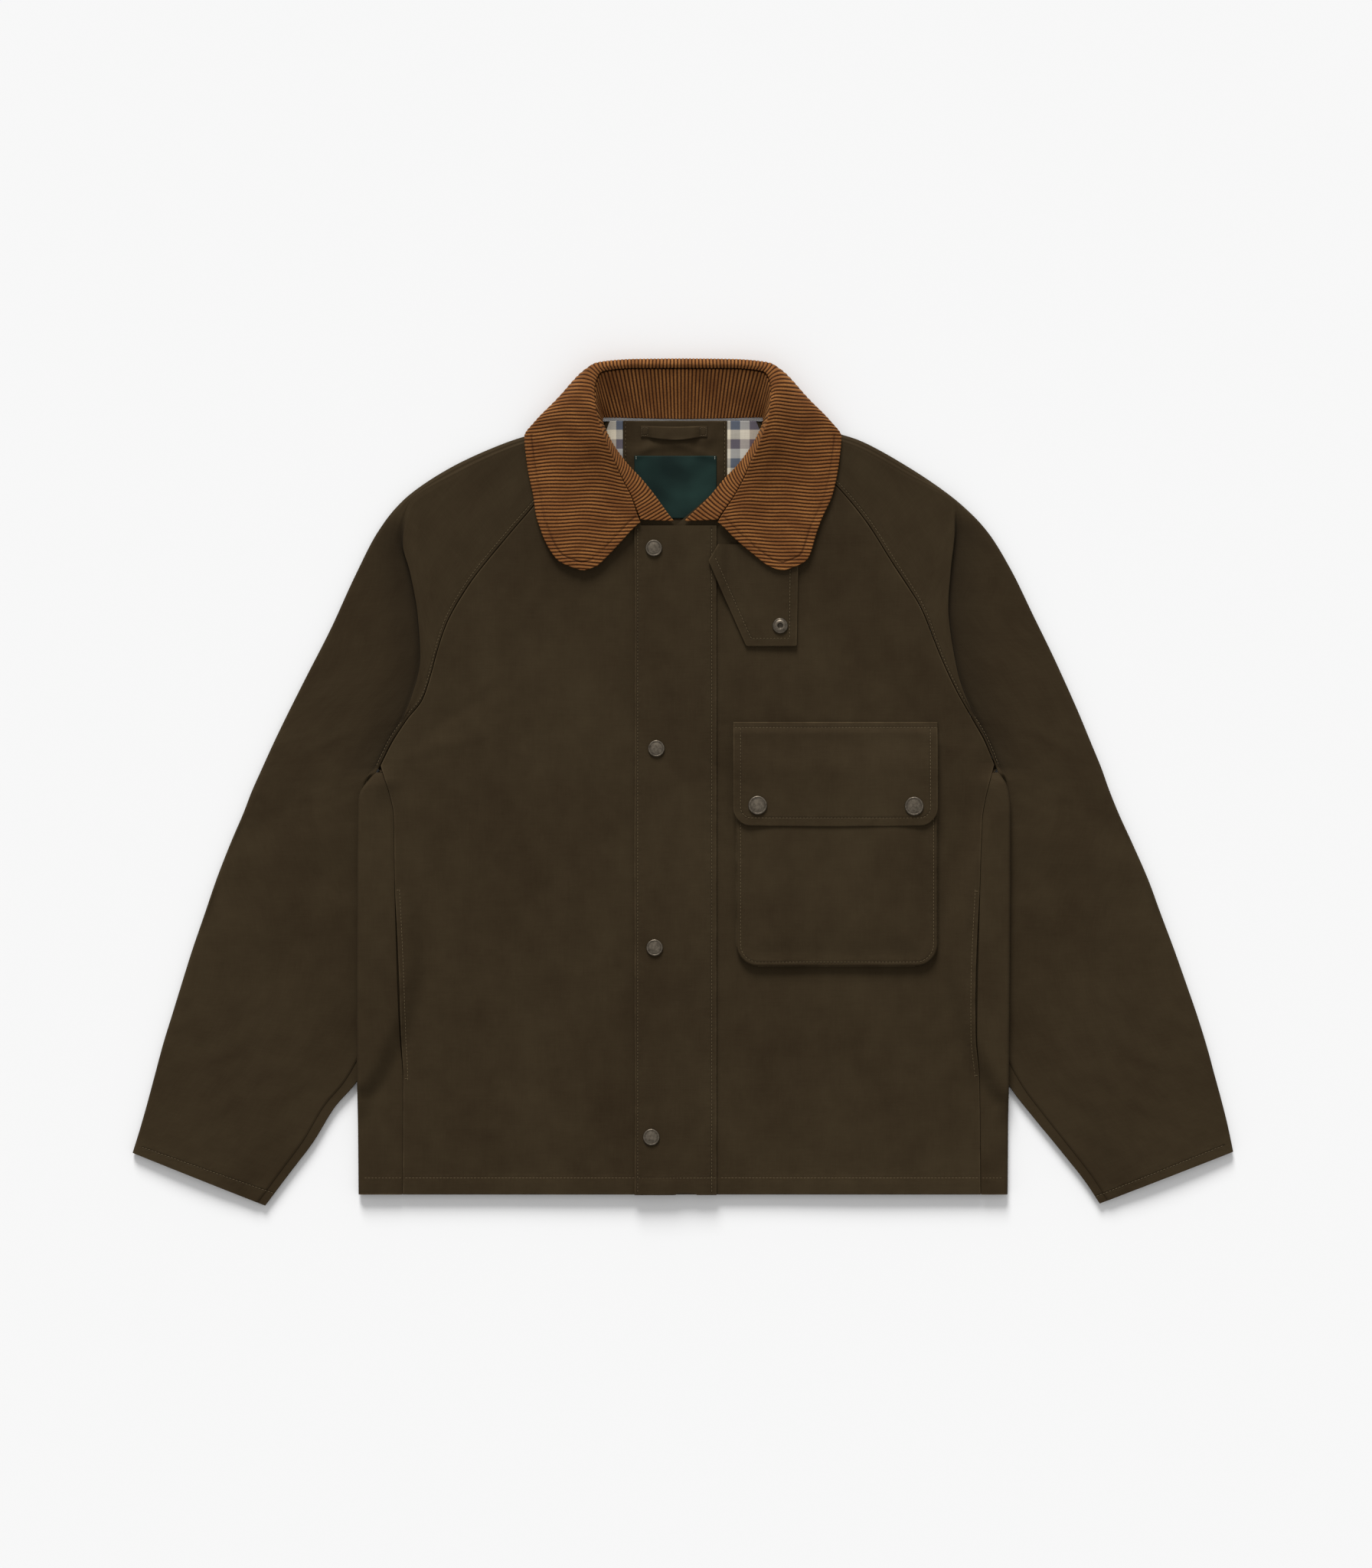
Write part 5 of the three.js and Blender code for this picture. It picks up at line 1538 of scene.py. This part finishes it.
def make_sewing() -> bpy.types.NodeTree:
    """A stitched line: a narrow groove with small puckers beside it, both bell curves of the distance, and a
    Shade output, painted shade along the groove, also a bell curve of it.
    """
    graph, given, result = new_group("stitched_line", ("Distance", "Pucker"), ("Height", "Shade"))
    distance = given["Distance"]
    groove = graph.times(graph.bell(distance, 0.85), -0.3)
    wave = graph.math("SUBTRACT", graph.noise(given["Cloth"], (150, 150, 1), 1.0), 0.5)
    pucker = graph.times(graph.times(wave, graph.bell(distance, 5.5)), given["Pucker"])
    graph.feed(result, {"Height": graph.plus(groove, pucker), "Shade": graph.bell(distance, 0.8)})
    return graph.tree


@dataclass
class ClothGroups:
    """The node groups that the cloths share."""

    weave: bpy.types.NodeTree = field(default_factory=make_weave)
    sewing: bpy.types.NodeTree = field(default_factory=make_sewing)


class Finish:
    """A material, started with its Principled BSDF, its cloth coordinates and its marks."""

    def __init__(self, name: str, constants: dict[str, object]) -> None:
        """Sets what is the same all over the surface on the shader's own sockets."""
        self.material = bpy.data.materials.new(name)
        self.material.use_nodes = True
        self.graph = Graph(self.material.node_tree)
        self.shader = self.graph.put("ShaderNodeBsdfPrincipled", constants)
        self.graph.put("ShaderNodeOutputMaterial", {"Surface": self.shader.outputs[0]})

    def cloth(self) -> bpy.types.NodeSocket:
        """The piece's own cloth coordinates, in metres."""
        return self.graph.put("ShaderNodeUVMap", uv_map="cloth").outputs[0]

    def mark(self, name: str) -> bpy.types.NodeSocket:
        """A number kept on the piece's points."""
        return self.graph.put("ShaderNodeAttribute", attribute_name=name).outputs["Fac"]

    def group(self, tree: bpy.types.NodeTree, inputs: dict) -> bpy.types.Node:
        """Places a shared node group."""
        return self.graph.put("ShaderNodeGroup", inputs, node_tree=tree)

    def sewing(self, groups: ClothGroups, pucker: float) -> bpy.types.Node:
        """The stitched lines of the piece."""
        inputs = {"Cloth": self.cloth(), "Distance": self.mark("stitch"), "Pucker": pucker}
        return self.group(groups.sewing, inputs)

    def finish(self, colour: object, height: object = None, roughness: object = None) -> bpy.types.Material:
        """Feeds the shader its colour, a bump from a height in millimetres, and its roughness."""
        given = {"Base Color": colour}
        if height is not None:
            bump = self.graph.put("ShaderNodeBump", {"Height": height, "Strength": 1.0, "Distance": MM})
            given["Normal"] = bump.outputs[0]
        if roughness is not None:
            given["Roughness"] = roughness
        self.graph.feed(self.shader, given)
        return self.material


@dataclass(frozen=True)
class WaxedCotton:
    """Dry waxed cotton: dark olive brown, slightly mottled, a little paler where its edges are rubbed."""

    dark: Rgba = srgb(43, 33, 20)
    light: Rgba = srgb(57, 47, 31)
    rubbed: Rgba = srgb(84, 70, 50)
    # The painted shade of the stitched grooves.
    groove: Rgba = srgb(30, 24, 16)
    shadow: Rgba = srgb(18, 13, 7)

    def make(self, groups: ClothGroups) -> bpy.types.Material:
        """Mixes the tones by the weave and by broad noise, with painted shade in the stitched grooves and
        beside the sleeves' armhole creases.
        """
        finish = Finish("waxed_cotton", {"Specular IOR Level": 0.08})
        graph, cloth = finish.graph, finish.cloth()
        weave = finish.group(groups.weave, {"Cloth": cloth, "Fineness": 1.0})
        sewing = finish.sewing(groups, 0.5)
        broad = graph.noise(cloth, (9, 7, 1), 4.0)
        patch = graph.noise(cloth, (48, 40, 1), 4.0)
        tone = graph.plus(graph.times(broad, 0.45), graph.times(patch, 0.25))
        tone = graph.plus(tone, graph.times(weave.outputs["Tone"], 0.3))
        colour = graph.blend(graph.ranged(tone, 0.34, 0.66), self.dark, self.light)
        edge = graph.times(graph.bell(finish.mark("edge"), 0.9), graph.ranged(patch, 0.35, 0.7, 0.1, 0.55))
        colour = graph.blend(edge, colour, self.rubbed)
        # Painted shade: the colour darkens along each stitched groove.
        colour = graph.blend(graph.times(sewing.outputs["Shade"], 0.45), colour, self.groove)
        # Painted shade: the colour darkens towards the shadow tone beside the sleeves' armhole creases.
        colour = graph.blend(graph.times(finish.mark("painted_shade"), 0.62), colour, self.shadow)
        height = graph.plus(graph.times(weave.outputs["Height"], 0.07), sewing.outputs["Height"])
        height = graph.plus(height, graph.times(graph.noise(cloth, (36, 30, 1), 3.0), 0.25))
        return finish.finish(colour, height, graph.ranged(tone, 0.3, 0.7, 0.95, 0.82))


@dataclass(frozen=True)
class Corduroy:
    """Corduroy: golden brown ridges of tufted pile over dark valleys, dark partly by the ground's own tone
    and partly by painted shade.
    """

    pitch: float = WALE_PITCH
    # The valleys' colour: the ground weave's own dark tone with painted shade added.
    valley_ground_and_shade: Rgba = srgb(34, 16, 6)
    middle: Rgba = srgb(98, 58, 26)
    ridge: Rgba = srgb(158, 107, 57)
    sheen: Rgba = srgb(196, 144, 88)
    # The painted shade of the stitched grooves.
    groove: Rgba = srgb(48, 24, 9)

    def make(self, groups: ClothGroups) -> bpy.types.Material:
        """Colours by |cos| of the wale coordinate, with tufts of noise along each ridge; the valleys'
        darkening is partly painted shade, and the stitched grooves get painted shade.
        """
        finish = Finish("corduroy", {"Roughness": 0.92, "Specular IOR Level": 0.15,
                                     "Sheen Weight": 0.25, "Sheen Roughness": 0.35, "Sheen Tint": self.sheen})
        graph, cloth = finish.graph, finish.cloth()
        across = graph.put("ShaderNodeSeparateXYZ", {0: cloth}).outputs[1]
        turn = graph.times(across, math.pi / (self.pitch * MM))
        tuft = graph.noise(cloth, (760, 620, 1), 3.0)
        ridge = graph.math("ABSOLUTE", graph.math("COSINE", turn))
        ridge = graph.plus(ridge, graph.times(graph.math("SUBTRACT", tuft, 0.5), 0.55))
        nap = graph.noise(cloth, (38, 60, 1), 3.0)
        # Partly painted shade: the colour darkens towards the valleys between the wales.
        low = graph.blend(graph.ranged(ridge, 0.12, 0.62), self.valley_ground_and_shade, self.middle)
        high = graph.times(graph.ranged(ridge, 0.6, 1.1), graph.ranged(nap, 0.36, 0.66, 0.25, 0.95))
        colour = graph.blend(high, low, self.ridge)
        sewing = finish.sewing(groups, 0.2)
        # Painted shade: the colour darkens along the stitched grooves.
        colour = graph.blend(graph.times(sewing.outputs["Shade"], 0.6), colour, self.groove)
        height = graph.plus(graph.times(tuft, 0.35), sewing.outputs["Height"])
        return finish.finish(colour, height)


@dataclass(frozen=True)
class CheckCloth:
    """A plain woven check: bands of even width in both directions, each crossing the mean of both."""

    band: float = 8.6
    shades: tuple[Rgba, ...] = (
        srgb(214, 203, 180), srgb(84, 90, 102), srgb(196, 190, 178), srgb(96, 78, 82))
    dusk: Rgba = srgb(60, 56, 54)

    def bands(self, graph: Graph, along: object) -> bpy.types.NodeSocket:
        """One direction's bands: the colours in turn, by the place's share of four bands."""
        share = graph.math("FRACT", graph.times(along, 1 / (self.band * 4 * MM)))
        ramp = graph.put("ShaderNodeValToRGB", {0: share})
        ramp.color_ramp.interpolation = "CONSTANT"
        stops = ramp.color_ramp.elements
        while len(stops) < len(self.shades):
            stops.new(0.5)
        for i, shade in enumerate(self.shades):
            stops[i].position = i / len(self.shades)
            stops[i].color = shade
        return ramp.outputs[0]

    def make(self, groups: ClothGroups) -> bpy.types.Material:
        """Averages the bands of both directions under the weave."""
        finish = Finish("check_lining", {"Roughness": 0.9, "Specular IOR Level": 0.2})
        graph, cloth = finish.graph, finish.cloth()
        split = graph.put("ShaderNodeSeparateXYZ", {0: cloth})
        colour = graph.blend(0.5, self.bands(graph, split.outputs[0]), self.bands(graph, split.outputs[1]))
        weave = finish.group(groups.weave, {"Cloth": cloth, "Fineness": 0.8})
        colour = graph.blend(graph.ranged(weave.outputs["Tone"], 0.35, 0.65, 0.0, 0.16), colour, self.dusk)
        return finish.finish(colour, graph.times(weave.outputs["Height"], 0.12))


@dataclass(frozen=True)
class LabelCloth:
    """Bare dark green satin of the neck label."""

    deep: Rgba = srgb(12, 28, 25)
    # The paler green of the painted sheen.
    sheen: Rgba = srgb(27, 48, 43)

    def make(self, groups: ClothGroups) -> bpy.types.Material:
        """Painted sheen: soft broad lighter and darker patches by noise, under a fine weave."""
        finish = Finish("label_cloth", {"Roughness": 0.75, "Specular IOR Level": 0.12})
        graph, cloth = finish.graph, finish.cloth()
        weave = finish.group(groups.weave, {"Cloth": cloth, "Fineness": 1.4})
        broad = graph.ranged(graph.noise(cloth, (24, 30, 1), 2.0), 0.3, 0.75)
        # Painted sheen: broad noise lightens the colour towards the paler green.
        colour = graph.blend(broad, self.deep, self.sheen)
        return finish.finish(colour, graph.times(weave.outputs["Height"], 0.06))


@dataclass(frozen=True)
class AntiqueBrass:
    """Dulled brass: grey bronze where it is rubbed, dark in its recesses."""

    dark: Rgba = srgb(46, 40, 32)
    worn: Rgba = srgb(122, 112, 98)

    def make(self) -> bpy.types.Material:
        """Mixes by the worn mark and by noise, with small scuffs as bump."""
        finish = Finish("antique_brass", {"Metallic": 0.85})
        graph = finish.graph
        place = graph.put("ShaderNodeTexCoord").outputs["Object"]
        scuff = graph.noise(place, (420, 420, 420), 6.0)
        share = graph.times(graph.ranged(finish.mark("worn"), 0, 1, 0.25, 1),
                           graph.ranged(scuff, 0.3, 0.68, 0.3, 1.0))
        colour = graph.blend(share, self.dark, self.worn)
        return finish.finish(colour, graph.times(scuff, 0.12), graph.ranged(scuff, 0.3, 0.7, 0.5, 0.34))


@dataclass(frozen=True)
class SewingThread:
    """Matt sewing thread of one colour."""

    name: str
    colour: Rgba

    def make(self) -> bpy.types.Material:
        """A plain matt finish."""
        finish = Finish(self.name, {"Roughness": 0.75, "Specular IOR Level": 0.25})
        return finish.finish(self.colour)


# Studio


@dataclass
class Studio:
    """A pale floor, soft light from above and behind the collar, and a camera that looks straight down."""

    focal: float = 110.0
    sensor: float = 36.0
    seen_height: float = 1413.1
    centre: tuple[float, float] = (2.8, -1.4)
    floor_half: float = 12.0
    floor_drop: float = 0.0003
    floor_tone: float = 0.87
    cloth_level: float = 8.0
    far_clip: float = 100.0
    sky: float = 0.55
    sun: float = 3.93
    sun_spread: float = 23.0
    sun_from: tuple[float, float, float] = (-0.12, 0.90, 0.42)

    def build(self) -> None:
        """Makes the floor, the lights and the camera."""
        mesh = bpy.data.meshes.new("floor")
        signs = ((-1, -1), (1, -1), (1, 1), (-1, 1))
        corners = [(self.floor_half * x, self.floor_half * y, -self.floor_drop) for x, y in signs]
        mesh.from_pydata(corners, [], [(0, 1, 2, 3)])
        floor = bpy.data.objects.new("floor", mesh)
        bpy.context.collection.objects.link(floor)
        finish = Finish("pale_floor", {"Roughness": 0.9, "Specular IOR Level": 0.0})
        mesh.materials.append(finish.finish((*(self.floor_tone,) * 3, 1)))
        scene = bpy.context.scene
        scene.view_settings.view_transform = "Standard"
        world = bpy.data.worlds.new("studio")
        scene.world = world
        world.use_nodes = True
        world.node_tree.nodes["Background"].inputs["Color"].default_value = (1, 1, 1, 1)
        world.node_tree.nodes["Background"].inputs["Strength"].default_value = self.sky
        lamp = bpy.data.lights.new("soft_key", "SUN")
        lamp.energy, lamp.angle = self.sun, math.radians(self.sun_spread)
        key = bpy.data.objects.new("soft_key", lamp)
        key.rotation_mode = "QUATERNION"
        key.rotation_quaternion = Vector(self.sun_from).to_track_quat("Z", "Y")
        bpy.context.collection.objects.link(key)
        view = bpy.data.cameras.new("camera")
        view.lens, view.sensor_width = self.focal, self.sensor
        camera = bpy.data.objects.new("camera", view)
        distance = self.seen_height * self.focal / self.sensor
        camera.location = (self.centre[0] * MM, self.centre[1] * MM, (distance + self.cloth_level) * MM)
        view.clip_end = self.far_clip
        bpy.context.collection.objects.link(camera)
        scene.camera = camera


class Jacket:
    """Builds every piece, dresses it and rides it on the root."""

    def __init__(self) -> None:
        """Makes the finishes."""
        groups = ClothGroups()
        self.finishes = {
            Slot.WAXED: WaxedCotton().make(groups), Slot.CORDUROY: Corduroy().make(groups),
            Slot.CHECK: CheckCloth().make(groups), Slot.LABEL: LabelCloth().make(groups),
            Slot.BRASS: AntiqueBrass().make(),
        }
        self.threads = {Slot.WAXED: SewingThread("olive_thread", srgb(92, 78, 54)).make(),
                        Slot.LABEL: SewingThread("pale_thread", srgb(190, 188, 176)).make()}

    def dress(self, sewn: Sewn) -> None:
        """Gives a piece its finish, rides it on the root, and hides the parts that it replaces."""
        piece = sewn.piece
        piece.data.materials.append(self.finishes[sewn.slot])
        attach(piece, "root")
        if sewn.nodes:
            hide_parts(*sewn.nodes)
        if sewn.stitches is not None:
            sewn.stitches.data.materials.append(self.threads[sewn.slot])
            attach(sewn.stitches, "root")
        log.info("%s: %d faces", piece.name, len(piece.data.polygons))

    def build(self) -> None:
        """Builds the jacket from the bottom layer up."""
        form = BodyForm()
        pocket = ChestPocket(form)
        self.dress(Back(form).build())
        for side in Side:
            self.dress(Front(form, side).build())
            self.dress(Sleeve(form, side).build())
        self.dress(StormFlap(form).build())
        self.dress(pocket.build_bag())
        self.dress(pocket.build_flap())
        self.dress(ThroatTab(form).build())
        for sewn in (*SnapFasteners(form, pocket).build(), *NeckInside().build(), *Collar().build()):
            self.dress(sewn)


def main() -> None:
    """Builds the jacket and the studio."""
    logging.basicConfig(level=logging.INFO, format="%(message)s")
    Jacket().build()
    Studio().build()


if __name__ == "__main__":
    main()
